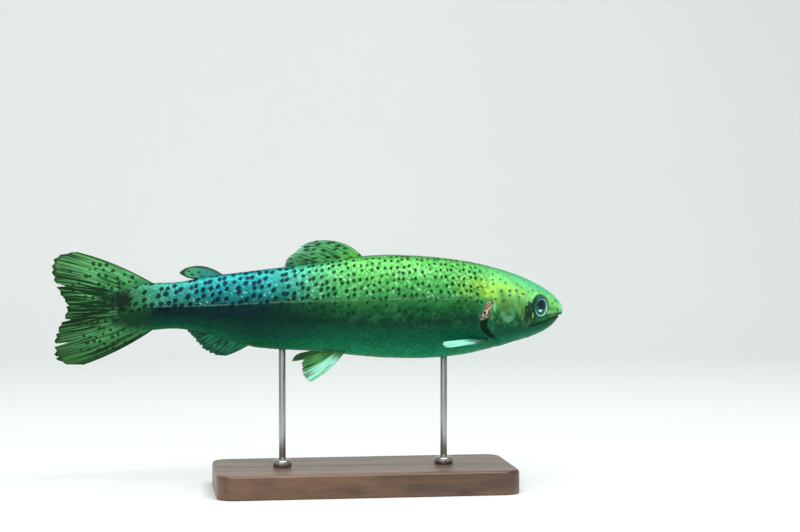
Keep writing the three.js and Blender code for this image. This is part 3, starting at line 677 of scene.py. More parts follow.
def make_skin():
    i = np.arange(1, HEAD_RINGS)
    head_s = HEAD_LENGTH * (i / HEAD_RINGS) ** 1.35
    t = np.linspace(0, 1, TRUNK_RINGS + 1)[:-1]
    trunk_s = HEAD_LENGTH + (BODY_END - HEAD_LENGTH) * (1 - (1 - t) ** 1.25)
    s = np.r_[head_s, trunk_s]
    angles = -math.pi / 2 + 2 * math.pi * np.arange(SKIN_SIDES) / SKIN_SIDES
    surface, out = skin_grid(s, angles)
    relief = np.zeros(surface.shape[:2])
    relief[:HEAD_RINGS + 10] = head_relief(surface[:HEAD_RINGS + 10])
    relief -= COAT_DEPTH * coat_cover(surface[..., 0], surface[..., 2]) + 0.03
    points = surface + out * relief[..., None]
    tip, end = np.array([0.05, 0, -0.2]), np.array([BODY_END - 0.2, 0, 3.5])
    flat = place(np.vstack([tip, points.reshape(-1, 3), end]))
    rings = len(s)
    faces = tube_faces(rings, SKIN_SIDES, 1)[:, ::-1]
    side = np.arange(SKIN_SIDES)
    after = (side + 1) % SKIN_SIDES
    last = 1 + (rings - 1) * SKIN_SIDES
    snout = np.stack([np.zeros_like(side), side + 1, after + 1], -1)
    tail = np.stack([np.full_like(side, len(flat) - 1), last + after, last + side], -1)

    # maps, per face corner, cut along the belly
    back_arc, line_arc = np.zeros((rings, SKIN_SIDES + 1)), np.zeros((rings, SKIN_SIDES + 1))
    turns = np.r_[angles, angles[0] + 2 * math.pi]
    right = turns <= math.pi / 2
    mirrored = np.where(right, turns, math.pi - turns)
    for ring, at in enumerate(s):
        known, from_line, from_back = arc_tables(at)
        line_arc[ring] = np.interp(mirrored, known, from_line)
        back_arc[ring] = np.interp(mirrored, known, from_back) * np.where(right, -1, 1)
    z = np.concatenate([surface[..., 2], surface[:, :1, 2]], 1)
    along = np.repeat(s[:, None], SKIN_SIDES + 1, 1)
    around = np.repeat(np.arange(SKIN_SIDES + 1)[None] / SKIN_SIDES, rings, 0)
    grids = {
        "BodyMap": np.stack([along, back_arc], -1) / 100,
        "RiseMap": np.stack([rise_of(along, z), line_arc / 100], -1),
        "OFBake": np.stack(unwrap(along, around), -1),
    }
    ring, column = np.meshgrid(np.arange(rings - 1), np.arange(SKIN_SIDES), indexing="ij")
    corners = [(ring + 1, column), (ring + 1, column + 1), (ring, column + 1), (ring, column)]
    maps = {}
    for name, grid in grids.items():
        body = np.stack([grid[r, c] for r, c in corners], 2).reshape(-1, 2)
        front = np.stack([grid[0, side], grid[0, side], grid[0, side + 1]], 1).reshape(-1, 2)
        rear = np.stack([grid[-1, side], grid[-1, side + 1], grid[-1, side]], 1).reshape(-1, 2)
        maps[name] = np.vstack([body, front, rear])
    skin = mesh_piece("skin", flat, [faces, snout, tail], maps)
    kinds = ("head", "lower_jaw", "upper_jaw", "gill_cover", "trunk", "tail_stalk")
    flesh = [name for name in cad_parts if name.startswith(kinds)]
    finished(skin, skin_finish(), flesh)


def unwrap(s, around):
    """The skin laid out flat: s along it, and around it from 0 to 1, starting at the belly."""
    return 0.01 + 0.98 * s / BODY_END, 0.01 + 0.98 * around


# ---------------------------------------------------------------- the scales

SCALE = {"along": 1.62, "across": 1.24, "length": 2.7, "width": 1.62, "first": 39.5, "last": 262.5}
# Where along the fish one piece of scales ends and the next starts.
SCALE_BANDS = [39, 78, 104, 130, 162, 184, 206, 230, 270]
# A scale in parts of its length and half width: its upper rim from front to rear, and how far back it is
# rooted and highest.
SCALE_RIM = [(0.0, 0.3), (0.2, 0.8), (0.55, 1.0), (0.82, 0.78), (0.97, 0.36), (1.0, 0.0)]
SCALE_ROOT, SCALE_CROWN = 0.3, 0.6


def scale_places():
    """Where each scale is rooted: s, angle, side, arcs, size and its place in the unwrap."""
    places = []
    s, column = SCALE["first"], 0
    while s < SCALE["last"]:
        size = 1.06 - 0.34 * float(step(s, 130, 240)) - 0.22 * float(step(s, 250, 262))
        angles, from_line, from_back = arc_tables(s, 300)
        pitch = SCALE["across"] * size
        offset = 0.5 * (column % 2)
        lowest, highest = from_line[[0, -1]] / pitch - offset
        arcs = (np.arange(math.ceil(lowest), math.floor(highest) + 1) + offset) * pitch
        turn = np.interp(arcs, from_line, angles)
        back = np.interp(arcs, from_line, from_back)
        for side in (-1, 1):
            around = ((turn if side < 0 else math.pi - turn) + math.pi / 2) / (2 * math.pi)
            columns = np.broadcast_arrays(s, turn, side, arcs, back * side, size, around)
            places.append(np.stack(columns, -1))
        s += SCALE["along"] * size / 2
        column += 1
    return np.vstack(places)


def make_scales():
    places = scale_places()
    z = section(places[:, 0], places[:, 1])[1]
    cover = coat_cover(places[:, 0], z)
    kept = cover > 0.12
    z, cover, count = z[kept], cover[kept], kept.sum()
    s, turn, side, arcs, back, size, around = places[kept].T
    # they start small and sunk behind the shoulder
    full = step(cover, 0.1, 1.0)
    size = size * (0.62 + 0.38 * full)
    sunk = 0.16 * (1 - full)
    angle = np.where(side < 0, turn, math.pi - turn)
    middle = body_surface(s, angle)
    rearward = unit(body_surface(s + 0.5, angle) - body_surface(s - 0.5, angle))
    upward = unit(body_surface(s, angle + 0.01) - body_surface(s, angle - 0.01)) * -side[:, None]
    out = unit(np.cross(rearward, upward)) * -side[:, None]
    # they are laid a little unevenly
    rng = np.random.default_rng(11)
    roll, pitch, tone = rng.normal(0, 0.045, count), rng.normal(0, 0.03, count), rng.random(count)
    outline = np.array(SCALE_RIM + [(x, -y) for x, y in SCALE_RIM[-2::-1]])
    corners = len(outline)
    length, half = SCALE["length"] * size[:, None], SCALE["width"] * size[:, None] / 2
    x, y = (outline[:, 0] - SCALE_ROOT) * length, outline[:, 1] * half
    lift = -0.3 + 0.28 * outline[:, 0] + pitch[:, None] * x * 0.8 + roll[:, None] * y - sunk[:, None]
    crown_x, crown_y = (SCALE_CROWN - SCALE_ROOT) * length, 0 * half
    crown_lift = (-0.09 + 0.5 * pitch - sunk * 0.6)[:, None]

    def at(x, y, z):
        return (middle[:, None] + rearward[:, None] * x[..., None] + upward[:, None] * y[..., None]
                + out[:, None] * z[..., None])

    points = np.concatenate([at(crown_x, crown_y, crown_lift), at(x, y, lift), at(x, y, lift - 0.16)], 1)
    each = points.shape[1]
    ring = np.arange(corners)
    after = (ring + 1) % corners
    fan = np.stack([np.zeros_like(ring), ring + 1, after + 1], -1)
    wall = np.stack([ring + 1, ring + 1 + corners, after + 1 + corners, after + 1], -1)
    under = (ring + 1 + corners)[None, ::-1]
    # maps, the same for the top and underside of a scale
    local_x = np.concatenate([crown_x, x, x], 1)
    local_y = np.concatenate([crown_y, y, y], 1)
    height = np.where(arcs > 0, back_at(s) - lateral_at(s), lateral_at(s) - belly_at(s))
    steepness = 0.5 / np.maximum(height, 1) * np.abs(np.cos(turn))
    rises = np.clip(rise_of(s, z)[:, None] + local_y * steepness[:, None], 0.0, 1.0)
    u, v = unwrap(s, around)
    patch = 0.0024 / np.maximum(length, 1)  # of the unwrap, for each mm of the scale
    maps = {
        "BodyMap": np.stack([s[:, None] + local_x, back[:, None] - side[:, None] * local_y], -1) / 100,
        "RiseMap": np.stack([rises, (arcs[:, None] + local_y) / 100], -1),
        "ScaleMap": np.stack([np.repeat(tone[:, None], each, 1),
                              np.repeat(np.r_[0.0, np.ones(2 * corners)][None], count, 0)], -1),
        "OFBake": np.stack([u[:, None] + patch * local_x, v[:, None] + patch * local_y], -1),
    }

    def is_rim(ends):
        return ((ends % each >= 1) & (ends % each <= corners)).all(1)

    finish = scale_finish()
    for number, (front, rear) in enumerate(zip(SCALE_BANDS[:-1], SCALE_BANDS[1:]), 1):
        chosen = np.flatnonzero((s >= front) & (s < rear))
        first = (np.arange(len(chosen)) * each)[:, None, None]
        on_left = side[chosen] > 0
        groups = []
        for template in (fan, wall, under):
            faces = first + template
            faces[on_left] = faces[on_left][:, :, ::-1]
            groups.append(faces.reshape(-1, template.shape[1]))
        chosen_maps = {name: uv[chosen].reshape(-1, 2) for name, uv in maps.items()}
        where = place(points[chosen].reshape(-1, 3))
        piece = mesh_piece(f"scales_{number}", where, groups, chosen_maps, is_rim)
        finished(piece, finish)


# ---------------------------------------------------------------- the fins

def fin_curve(points):
    """A curve through (v, s, y, z) points."""
    vs, *axes = zip(*points)
    curves = [smooth(vs, axis) for axis in axes]
    return lambda v: np.stack([curve(v) for curve in curves], -1)


# Each fin is a fan of rays from its root to its tip. Its lines are given as (v, s, y, z), v being 0 at the
# leading edge and 1 at the trailing edge, and y of a paired fin running outwards. The bow is how far the
# rays curve from straight, thick is at root and tip, branch is where along the rays they fork, and a split
# is a tear as (v, half its width, how deep).
PELVIC = {
    "rays": 10, "rows": 26, "fine": 10, "thick": (1.8, 0.45), "scallop": 0.03, "branch": (0.5, 0.8),
    "root": [(0, 131, 6.4, -22.6), (1, 137.5, 5.2, -21.4)],
}
PECTORAL = {"rays": 13, "rows": 28, "fine": 10, "thick": (1.8, 0.45), "scallop": 0.02, "branch": (0.5, 0.8)}
FINS = {
    "caudal_fin": {
        "rays": 19, "rows": 48, "fine": 14, "thick": (2.2, 0.5), "scallop": 0.02, "branch": (0.42, 0.66),
        "root": [(0, 240, 0, 15.6), (0.25, 253, 0, 10), (0.5, 257, 0, 3.4), (0.75, 253, 0, -3),
                 (1, 240, 0, -7.6)],
        "tip": [(0, 287, 0, 35.9), (0.06, 293.6, 0, 34.9), (0.12, 298.8, 0, 32.2), (0.2, 300.6, 0, 26.5),
                (0.3, 299.5, 0, 19), (0.4, 295.6, 0, 10.8), (0.48, 292.4, 0, 5), (0.56, 293.4, 0, -0.8),
                (0.68, 298, 0, -9.4), (0.8, 299.5, 0, -18), (0.9, 299.2, 0, -24.9), (0.96, 294, 0, -28.6),
                (1, 284, 0, -29.6)],
        "bow": [(0, 0, 0, 4.4), (0.3, 0, 0, 1.6), (0.5, 0, 0, 0), (0.7, 0, 0, -1), (1, 0, 0, -4.2)],
        "splits": [(0.325, 0.012, 0.12), (0.405, 0.006, 0.03), (0.48, 0.006, 0.04), (0.6, 0.012, 0.13),
                   (0.7, 0.006, 0.04), (0.8, 0.012, 0.16), (0.9, 0.005, 0.03)],
    },
    "dorsal_fin": {
        "rays": 13, "rows": 26, "fine": 10, "thick": (2.0, 0.45), "scallop": 0.02, "branch": (0.5, 0.8),
        "root": [(0, 119, 0, 30.6), (0.5, 141, 0, 27.6), (1, 160, 0, 25)],
        "tip": [(0, 149.8, 0, 41.4), (0.2, 155.6, 0, 39.4), (0.45, 160.4, 0, 35), (0.75, 165.4, 0, 30.6),
                (1, 166.6, 0, 26.8)],
        "bow": [(0, -4, 0, 8.4), (0.5, -1, 0, 2.8), (1, 0, 0, 0.6)],
        "splits": [(0.3, 0.01, 0.05), (0.62, 0.01, 0.06)],
    },
    "adipose_fin": {
        "rays": 4, "rows": 24, "fine": 10, "thick": (2.4, 0.8), "scallop": 0.0, "branch": (2, 3),
        "ridge": 0.0,
        "root": [(0, 202, 0, 21.6), (1, 211, 0, 19.6)],
        "tip": [(0, 224.5, 0, 25.8), (0.5, 227.6, 0, 23.2), (1, 223.4, 0, 20.4)],
        "bow": [(0, 0, 0, 6.4), (0.5, 0, 0, 1.6), (1, 0, 0, -1.2)],
    },
    "anal_fin": {
        "rays": 12, "rows": 28, "fine": 10, "thick": (2.0, 0.45), "scallop": 0.05, "branch": (0.5, 0.8),
        "root": [(0, 185, 0, -17.8), (0.5, 202, 0, -13), (1, 219, 0, -8.6)],
        "tip": [(0, 201.6, 0, -25.6), (0.2, 206.5, 0, -25.2), (0.4, 211, 0, -23.6), (0.6, 216, 0, -19.6),
                (0.8, 219.6, 0, -14.8), (1, 223.6, 0, -10.2)],
        "bow": [(0, 0, 0, -1.6), (0.5, 0, 0, -1), (1, 0, 0, 0)],
        "splits": [(0.3, 0.02, 0.06), (0.45, 0.02, 0.08), (0.6, 0.025, 0.11), (0.78, 0.02, 0.1)],
    },
    "pelvic_fin_right": {
        **PELVIC, "side": -1,
        "tip": [(0, 153, 13.5, -40.4), (0.25, 156.2, 12.6, -37.9), (0.5, 157.6, 11.4, -34),
                (0.75, 157.6, 9.8, -29.8), (1, 155, 7, -26.6)],
        "bow": [(0, -1.2, 1.4, -3.4), (0.5, 0, 1, -0.8), (1, 0, 0.4, 0.6)],
        "splits": [(0.42, 0.012, 0.07)],
    },
    "pelvic_fin_left": {
        **PELVIC, "side": 1,
        "tip": [(0, 161.6, 10.4, -30.2), (0.3, 161.4, 9.4, -28.6), (0.6, 160.4, 8.2, -26.8),
                (1, 157, 6.2, -24.8)],
        "bow": [(0, 0, 1.6, -1.8), (0.5, 0, 1, -1), (1, 0, 0.4, 0)],
    },
    "pectoral_fin_right": {
        **PECTORAL, "side": -1,
        "root": [(0, 47, 10.4, -17), (1, 52, 9.4, -16.8)],
        "tip": [(0, 74.6, 29.6, -19.8), (0.25, 76.2, 27.4, -19.4), (0.5, 76.4, 24, -18.8),
                (0.75, 76, 20, -18.1), (1, 74.6, 16, -17.4)],
        "bow": [(0, -2.4, 3, -0.2), (0.5, 0, 1, 0.2), (1, 0, 0, 0.2)],
    },
    "pectoral_fin_left": {
        **PECTORAL, "side": 1,
        "root": [(0, 47, 10.4, -16.4), (1, 52, 9.4, -17.6)],
        "tip": [(0, 76, 28.2, -20.6), (0.25, 79.4, 26, -20.2), (0.5, 80.6, 22.4, -19.6),
                (0.75, 78.8, 18, -18.6), (1, 73.5, 14.2, -18)],
        "bow": [(0, -2.2, 3, 0.4), (0.5, 0, 1, 0.4), (1, 0, 0, 0)],
    },
}


def fin_middle(fin, u, v):
    """The middle sheet of a fin, in fish coordinates."""
    root, tip, bow = (fin_curve(fin[part])(v) for part in ("root", "tip", "bow"))
    if "side" in fin:
        root, tip, bow = (part * (1, fin["side"], 1) for part in (root, tip, bow))
    u = u[..., None]
    return root + (tip - root) * u + bow * 2 * u * (1 - u)


def ray_height(fin, u, v):
    """1 on the crest of a ray, falling to 0 on the web between rays. Rays fork towards their tips."""
    across = v * fin["rays"]
    from_ray = across - np.floor(across) - 0.5
    first, second = fin["branch"]
    fork = 0.24 * step(u, first, first + 0.16)
    fork_again = 0.11 * step(u, second, second + 0.14)
    crest = np.zeros_like(u)
    width = 0.15 - 0.06 * step(u, first, 1.0)
    for one in (-1, 1):
        for two in (-1, 1):
            crest = np.maximum(crest, bell(from_ray - one * fork - two * fork_again, width))
    return crest


def make_fin(name, material):
    fin = FINS[name]
    rows, columns = fin["rows"], fin["rays"] * fin["fine"] + 1
    v_line = np.linspace(0, 1, columns)
    rng = np.random.default_rng(len(name) + fin["rays"])
    ragged = np.repeat(rng.random(fin["rays"] * 2 + 1), fin["fine"] // 2)[:columns]
    reach = 1 - fin["scallop"] * (np.cos(v_line * fin["rays"] * math.pi) ** 2 + 0.8 * ragged)
    for middle, width, depth in fin.get("splits", ()):
        reach -= depth * np.clip(1 - np.abs(v_line - middle) / width, 0, 1) ** 0.8
    u_line = np.linspace(0, 1, rows) ** 0.9
    u = u_line[:, None] * reach[None]
    v = np.repeat(v_line[None], rows, 0)
    middle = fin_middle(fin, u, v)
    across = np.gradient(middle, axis=1)
    along = fin_middle(fin, np.minimum(u + 0.02, 1.02), v) - fin_middle(fin, u - 0.02, v)
    normal = unit(np.cross(across, along))
    crest = ray_height(fin, u, v) * fin.get("ridge", 1.0)
    base, edge = fin["thick"]
    thick = base + (edge - base) * u ** 0.6
    half = thick * (0.42 + 0.08 * crest) + (0.06 - 0.02 * u) * crest
    half *= np.clip(np.minimum(v, 1 - v) * fin["rays"] * 2.2, 0.25, 1)
    half *= np.clip((1 - u_line[:, None]) * 9, 0.35, 1)
    sides = [(middle + normal * out * half[..., None]).reshape(-1, 3) for out in (1, -1)]
    fin_map = np.stack([u, v], -1).reshape(-1, 2)
    # a ray's crest, and 1 on the fin's outer face
    outer = float(fin.get("side", 0) * np.sign(normal[..., 1].mean()) > 0)
    crest_maps = [np.stack([crest, np.full_like(crest, face)], -1).reshape(-1, 2)
                  for face in (outer, 1 - outer)]
    maps = {"FinMap": np.vstack([fin_map, fin_map]), "RayMap": np.vstack(crest_maps)}
    piece = mesh_piece(name + "_rays", place(np.vstack(sides)), slab_faces(rows, columns), maps)
    finished(piece, material, [name])


# Bands run from a fin's root to its tip. The heart is the dark middle, the lead a pale leading edge and
# the hem the thin dark line round the fin.
FIN_LOOKS = {
    "caudal": {
        "bands": band((0.0, 46, 112, 66), (0.25, 76, 158, 94), (0.6, 72, 148, 84),
                  (0.88, 50, 104, 44), (1.0, 66, 100, 28)),
        "ray": paint(124, 200, 134), "dark": paint(8, 46, 16), "streaks": 0.95, "heart": 0.66, "hem": 0.85,
        "stripes": 1.0, "low": 0.92,
        "spots": {"cell": 3.8, "long": 1.0, "lean": 0.0, "size": 0.21, "reach": (0.9, 0.4), "share": 0.9},
    },
    "dorsal": {
        "bands": band((0.0, 108, 190, 76), (0.3, 68, 156, 84), (0.7, 74, 146, 98),
                  (1.0, 132, 206, 164)),
        "ray": paint(112, 196, 130), "dark": paint(10, 48, 30), "streaks": 0.9, "heart": 0.0, "hem": 0.3,
        "stripes": 0.7, "low": 0.62,
        "spots": {"cell": 2.5, "long": 0.4, "lean": 0.16, "size": 0.19, "reach": (1.2, 0.8), "share": 0.95},
    },
    "anal": {
        "bands": band((0.0, 26, 138, 94), (0.35, 24, 100, 70), (0.7, 9, 52, 39),
                  (1.0, 6, 36, 26)),
        "ray": paint(60, 156, 116), "dark": paint(4, 32, 26), "streaks": 0.95, "heart": 0.0, "hem": 0.6,
        "stripes": 0.6,
    },
    "pelvic": {
        "bands": band((0.0, 30, 96, 48), (0.5, 56, 120, 56), (1.0, 34, 84, 32)),
        "ray": paint(96, 176, 98), "dark": paint(8, 46, 22), "streaks": 0.95, "heart": 0.0, "hem": 0.4,
        "stripes": 0.42, "lead": (0.36, 0.52, paint(158, 230, 206)),
    },
    "pectoral": {
        # The dark root of the pectoral band, out to about a third of the fin, is painted shadow under the
        # body.
        "bands": band((0.0, 12, 58, 38), (0.34, 16, 74, 50), (0.44, 122, 212, 184),
                  (1.0, 142, 226, 200)),
        "ray": paint(200, 252, 236), "dark": paint(30, 122, 100), "streaks": 0.7, "heart": 0.0, "hem": 0.3,
        "stripes": 0.35,
    },
}


def fin_finish(name, rays, look):
    finish = Finish(name + "_web", Coat_Weight=0.05, Coat_Roughness=0.25, Specular_IOR_Level=0.08)
    (u, v), (crest, outer) = finish.map("FinMap"), finish.map("RayMap")
    x, _, z = finish.node("ShaderNodeSeparateXYZ", None, finish.here())
    cloud = finish.noise(finish.here(), 140.0, 3.0)
    stripes = rays * look["stripes"]
    fan = finish.noise(finish.vector(u * 1.4, v * stripes * 2.4), 1.0, 2.0, 0.5)
    fine = finish.noise(finish.vector(u * 2.6, v * stripes * 6.0), 1.0, 2.0, 0.5)
    colour = finish.ramp(u + (cloud - 0.5) * 0.3, look["bands"])
    if "lead" in look:
        full, none, tone = look["lead"]
        lead = (v + (fan - 0.5) * 0.14).ease(none, full) * u.ease(0.1, 0.35) * (outer * 0.85 + 0.15)
        colour = finish.mix(lead * 0.9, colour, tone)
        # painted shade: the fin's inner face is darker than its outer one
        colour = darker(finish, (1 - outer) * 0.5, colour)
    colour = finish.mix(crest * (cloud * 0.5 + 0.2) * u.ease(0.1, 0.4), colour, look["ray"])
    heart = v.ease(0.1, 0.34) * v.ease(0.78, 0.6) * u.ease(0.1, 0.42) * look["heart"]
    streaks = (fan * 0.5 + fine * 0.5 + heart * 0.1).ease(0.47, 0.58) * u.ease(0.0, 0.3) * look["streaks"]
    if "lead" in look:
        streaks = streaks * (1 - lead * 0.2)
    colour = finish.mix((streaks + heart * 0.42).ease(0.0, 1.15), colour, look["dark"])
    if "low" in look:
        lower = v.ease(0.4, 0.6) * (u.ease(0.5, 0.8) * 0.35 + u.ease(0.4, 0.1) * 0.3 + 0.65)
        colour = darker(finish, (lower + v.ease(0.86, 0.97)) * look["low"], colour)
    if "spots" in look:
        spots = look["spots"]
        mm = x * 1000
        where = finish.vector(mm * spots["long"] + (cloud - 0.5) * 2, z * 1000 - mm * spots["lean"])
        distance, growth, chance = finish.cells(where, 1 / spots["cell"], 0.75)
        spot = (distance - spots["size"] - growth * 0.12) * spots["cell"]
        spot = spot.ease(0.25, -0.25) * (chance < u.ease(*spots["reach"]) * spots["share"])
        colour = finish.mix(spot * 0.9, colour, SPOT_COLOUR)
    if name == "caudal":
        colour = tail_root(finish, finish.mix(u.ease(0.22, 0.04) * 0.8, colour, TAIL_ROOT_COLOUR))
    hem = v.ease(0.03, 0.004) + v.ease(0.97, 0.996) + (u + (cloud - 0.5) * 0.16).ease(0.9, 1.0)
    colour = finish.mix(hem.ease(0.0, 1.0) * look["hem"], colour, look["dark"])
    finish.feed(Base_Color=colour, Roughness=0.4 + cloud * 0.2, Normal=finish.bump(fine, 0.00015, 0.4))
    return finish.material


def adipose_finish():
    finish = Finish("adipose_web", Coat_Weight=0.15, Coat_Roughness=0.2, Specular_IOR_Level=0.2)
    u, v = finish.map("FinMap")
    patches = finish.noise(finish.here(), 300.0, 3.0)
    rim = v.ease(0.22, 0.05) + v.ease(0.8, 0.95) + u.ease(0.8, 0.94) + (patches - 0.5) * 0.5
    colour = finish.mix(u.ease(0.3, 0.8), paint(34, 130, 118), paint(60, 150, 108))
    colour = finish.mix(rim.ease(0.2, 0.7) * 0.92, colour, paint(12, 38, 28))
    for at_u, at_v, size in ((0.5, 0.4, 0.1), (0.66, 0.62, 0.12), (0.36, 0.66, 0.1), (0.78, 0.36, 0.1)):
        away = ((u - at_u) * 1.8) ** 2 + (v - at_v) ** 2 + (patches - 0.5) * 0.012
        colour = finish.mix(away.ease(size ** 2, size ** 2 * 0.4) * 0.85, colour, SPOT_COLOUR)
    finish.feed(Base_Color=colour, Roughness=0.4 + patches * 0.2, Normal=finish.bump(patches, 0.0002, 0.4))
    return finish.material


def make_fins():
    finishes = {"adipose": adipose_finish()}
    for name, fin in FINS.items():
        kind = name.split("_")[0]
        if kind not in finishes:
            finishes[kind] = fin_finish(kind, fin["rays"], FIN_LOOKS[kind])
        make_fin(name, finishes[kind])


# ---------------------------------------------------------------- eyes and gills

def eye_piece(name, outline, side, sides=72):
    """A closed round solid about the eye's axis, its outline given as (radius, height)."""
    middle, look = eye_frame(side)
    up = np.array([0.0, 0.0, 1.0])
    ahead = unit(np.cross(up, look)) * side
    turn = 2 * math.pi * np.arange(sides) / sides
    outline = np.asarray(outline, float)
    rim = outline[1:-1]
    spin = np.cos(turn)[:, None] * ahead + EYE["tall"] * np.sin(turn)[:, None] * up
    rings = middle + rim[:, None, :1] * spin[None] + rim[:, None, 1:] * look
    poles = middle + outline[[0, -1], 1][:, None] * look
    points = np.vstack([poles[:1], rings.reshape(-1, 3), poles[1:]])
    ring = np.arange(sides)
    after = (ring + 1) % sides
    last = 1 + (len(rim) - 1) * sides
    faces = [tube_faces(len(rim), sides, 1), np.stack([0 * ring, after + 1, ring + 1], -1),
             np.stack([0 * ring + len(points) - 1, last + ring, last + after], -1)]
    if side > 0:
        faces = [group[:, ::-1] for group in faces]
    round_map = np.stack([np.cos(turn), EYE["tall"] * np.sin(turn)], -1)[None]
    spread = np.vstack([[[0, 0]], (rim[:, None, :1] * round_map).reshape(-1, 2), [[0, 0]]])
    return mesh_piece(name, place(points), faces, {"EyeMap": spread / 10})


def iris_finish():
    finish = Finish("iris", Roughness=0.32, Specular_IOR_Level=0.1)
    ahead, up = (number * 10 for number in finish.map("EyeMap"))
    blur = finish.noise(finish.vector(ahead, up), 0.9, 3.0, 0.6)
    angle = finish.node("ShaderNodeMath", {"operation": "ARCTAN2"}, up, ahead)[0]
    flecks = finish.noise(finish.vector(angle * 3.0, ahead * 0.3, up * 0.3), 2.6, 4.0, 0.6)
    # how far out a place is, 1 on the bright ring round the iris
    ring = oval(ahead, up, 0.25, -0.75, 3.95, 5.1) ** 0.5 + (blur - 0.5) * 0.1
    from_pupil = oval(ahead, up, 0.75, 1.0, 2.6, 2.85) ** 0.5
    colour = finish.mix(flecks.ease(0.3, 0.7), paint(6, 70, 66), paint(20, 104, 90))
    # the dark band outside the bright ring, widest at the top, is painted shade of the socket and brow
    colour = finish.mix(ring.ease(1.22, 1.04), paint(4, 62, 58), colour)
    bright = ring.ease(0.86, 0.95) * ring.ease(1.08, 1.0)
    # painted light: the ring brighter towards the front and below, and a little at the top
    lit = (ahead * 0.8 - up * 0.5 + blur * 2).ease(-2.2, 3.0) * 0.95 + up.ease(2.6, 3.8) * 0.35
    colour = finish.mix(bright * lit, colour, paint(140, 250, 208))
    amber = finish.noise(finish.vector(ahead, up), 0.7).ease(0.55, 0.7) * bright
    colour = finish.mix(amber * 0.3, colour, paint(150, 180, 90))
    colour = finish.mix(from_pupil.ease(1.25, 0.9) * 0.96, colour, paint(3, 26, 42))
    # a painted highlight low in the pupil
    spark = oval(ahead, up, -0.2, -2.55, 1.35, 0.75) + (blur - 0.5) * 2.0
    colour = finish.mix(spark.ease(1.1, 0.6) * 0.95, colour, paint(196, 252, 226))
    finish.feed(Base_Color=colour, Metallic=bright * 0.25, Normal=finish.bump(flecks, 0.0003, 0.3))
    return finish.material


def cornea_finish():
    """A clear wet dome: it lets the iris show and only adds its gloss."""
    finish = Finish("cornea", Base_Color=(1, 1, 1, 1), Roughness=0.03)
    fresnel = finish.node("ShaderNodeFresnel", None, IOR=1.36)[0]
    gloss = finish.node("ShaderNodeBsdfGlossy", None, Color=(1, 1, 1), Roughness=0.04)[0]
    clear = finish.node("ShaderNodeBsdfTransparent")[0]
    mixed = finish.node("ShaderNodeMixShader", None, fresnel * 0.28, clear, gloss)[0]
    finish.fill(finish.nodes["Material Output"].inputs["Surface"], mixed)
    return finish.material


# Outlines from the middle of the front round to the back. The cornea is a thin dome over the ball.
EYEBALL = [(0, -0.05), (0.9, -0.12), (1.7, -0.3), (2.3, -0.55), (2.7, -0.85), (2.95, -0.95), (3.5, -0.82),
           (4.2, -0.7), (4.9, -0.72), (5.35, -0.9), (5.65, -1.3), (5.75, -1.9), (5.6, -2.8), (4.7, -4.5),
           (2.6, -5.6), (0, -6.0)]
CORNEA = [(0, 0.98), (1.2, 0.92), (2.4, 0.72), (3.5, 0.38), (4.5, -0.08), (5.2, -0.58), (5.32, -0.86),
          (5.1, -0.72), (4.4, -0.3), (3.4, 0.16), (2.3, 0.5), (1.2, 0.68), (0, 0.74)]


def make_eyes():
    iris, cornea = iris_finish(), cornea_finish()
    for side, name in ((-1, "eye_right"), (1, "eye_left")):
        finished(eye_piece(name + "_ball", EYEBALL, side), iris, [name])
        finished(eye_piece(name + "_cornea", CORNEA, side), cornea, [name])


def gill_finish():
    finish = Finish("gill_flesh", Coat_Weight=0.06, Coat_Roughness=0.2, Specular_IOR_Level=0.1)
    (across, up), (height, _) = finish.map("GillMap"), finish.map("CombMap")
    where = finish.vector(across, up)
    blotch, flecks = finish.noise(where, 2.6, 4.0, 0.65), finish.noise(where, 5.0, 3.0, 0.65)
    colour = finish.mix(blotch.ease(0.36, 0.6), paint(196, 144, 120), paint(250, 232, 212))
    colour = finish.mix(height.ease(0.5, 0.05) * 0.5, colour, paint(120, 60, 46))
    # dark flecks, and painted shade low in the cleft, under the gill cover's edge at the front and under the
    # shoulder rim at the back
    dark = flecks.ease(0.475, 0.545) + (up + across * 0.2 + (blotch - 0.5) * 0.5).ease(-0.2, -0.5)
    dark = dark + (across - up * 0.3).ease(0.2, 0.04) + across.ease(0.9, 1.0) * 0.6
    colour = finish.mix(dark.ease(0.0, 0.9), colour, paint(10, 42, 32))
    finish.feed(Base_Color=colour, Roughness=0.25 + flecks * 0.3, Normal=finish.bump(flecks, 0.0004, 0.6))
    return finish.material


def make_gills():
    """Combs of gill flesh in the cleft behind each gill cover."""
    finish = gill_finish()
    rows, columns = 150, 44
    z, across = np.meshgrid(np.linspace(-15.5, 6.8, rows), np.linspace(0, 1, columns), indexing="ij")
    front, rear = cover_at(z) - 0.7, rim_at(z) + 0.5
    s = front + (rear - front) * across
    # how far the body's surface is from its middle plane, at these heights
    above = z > waist_at(s)
    reach = np.where(above, back_at(s) - waist_at(s), waist_at(s) - belly_at(s))
    power = np.where(above, SQUARENESS["above"], SQUARENESS["below"])
    out = half_at(s) * np.clip(1 - (np.abs(z - waist_at(s)) / reach) ** power, 0, 1) ** (1 / power)
    comb = np.abs(np.sin((z - s * 0.75) * math.pi / 0.9)) ** 0.7
    arches = np.abs(np.sin((across * 2.2 + 0.1 + z * 0.012) * math.pi)) ** 0.6
    height = comb * (0.4 + 0.6 * arches)
    place_map, comb_map = (np.tile(np.stack(pair, -1).reshape(-1, 2), (2, 1))
                           for pair in ((across, z / 10), (height, height)))
    for side, name in ((-1, "gill_right"), (1, "gill_left")):
        top = np.stack([s, side * (out - 1.55 + 0.62 * height), z], -1)
        base = np.stack([s, side * (out - 2.5), z], -1)
        points = place(np.vstack([top.reshape(-1, 3), base.reshape(-1, 3)]))
        piece = mesh_piece(name + "_combs", points, slab_faces(rows, columns, side > 0),
                           {"GillMap": place_map, "CombMap": comb_map})
        finished(piece, finish, [name])


# ---------------------------------------------------------------- the stand

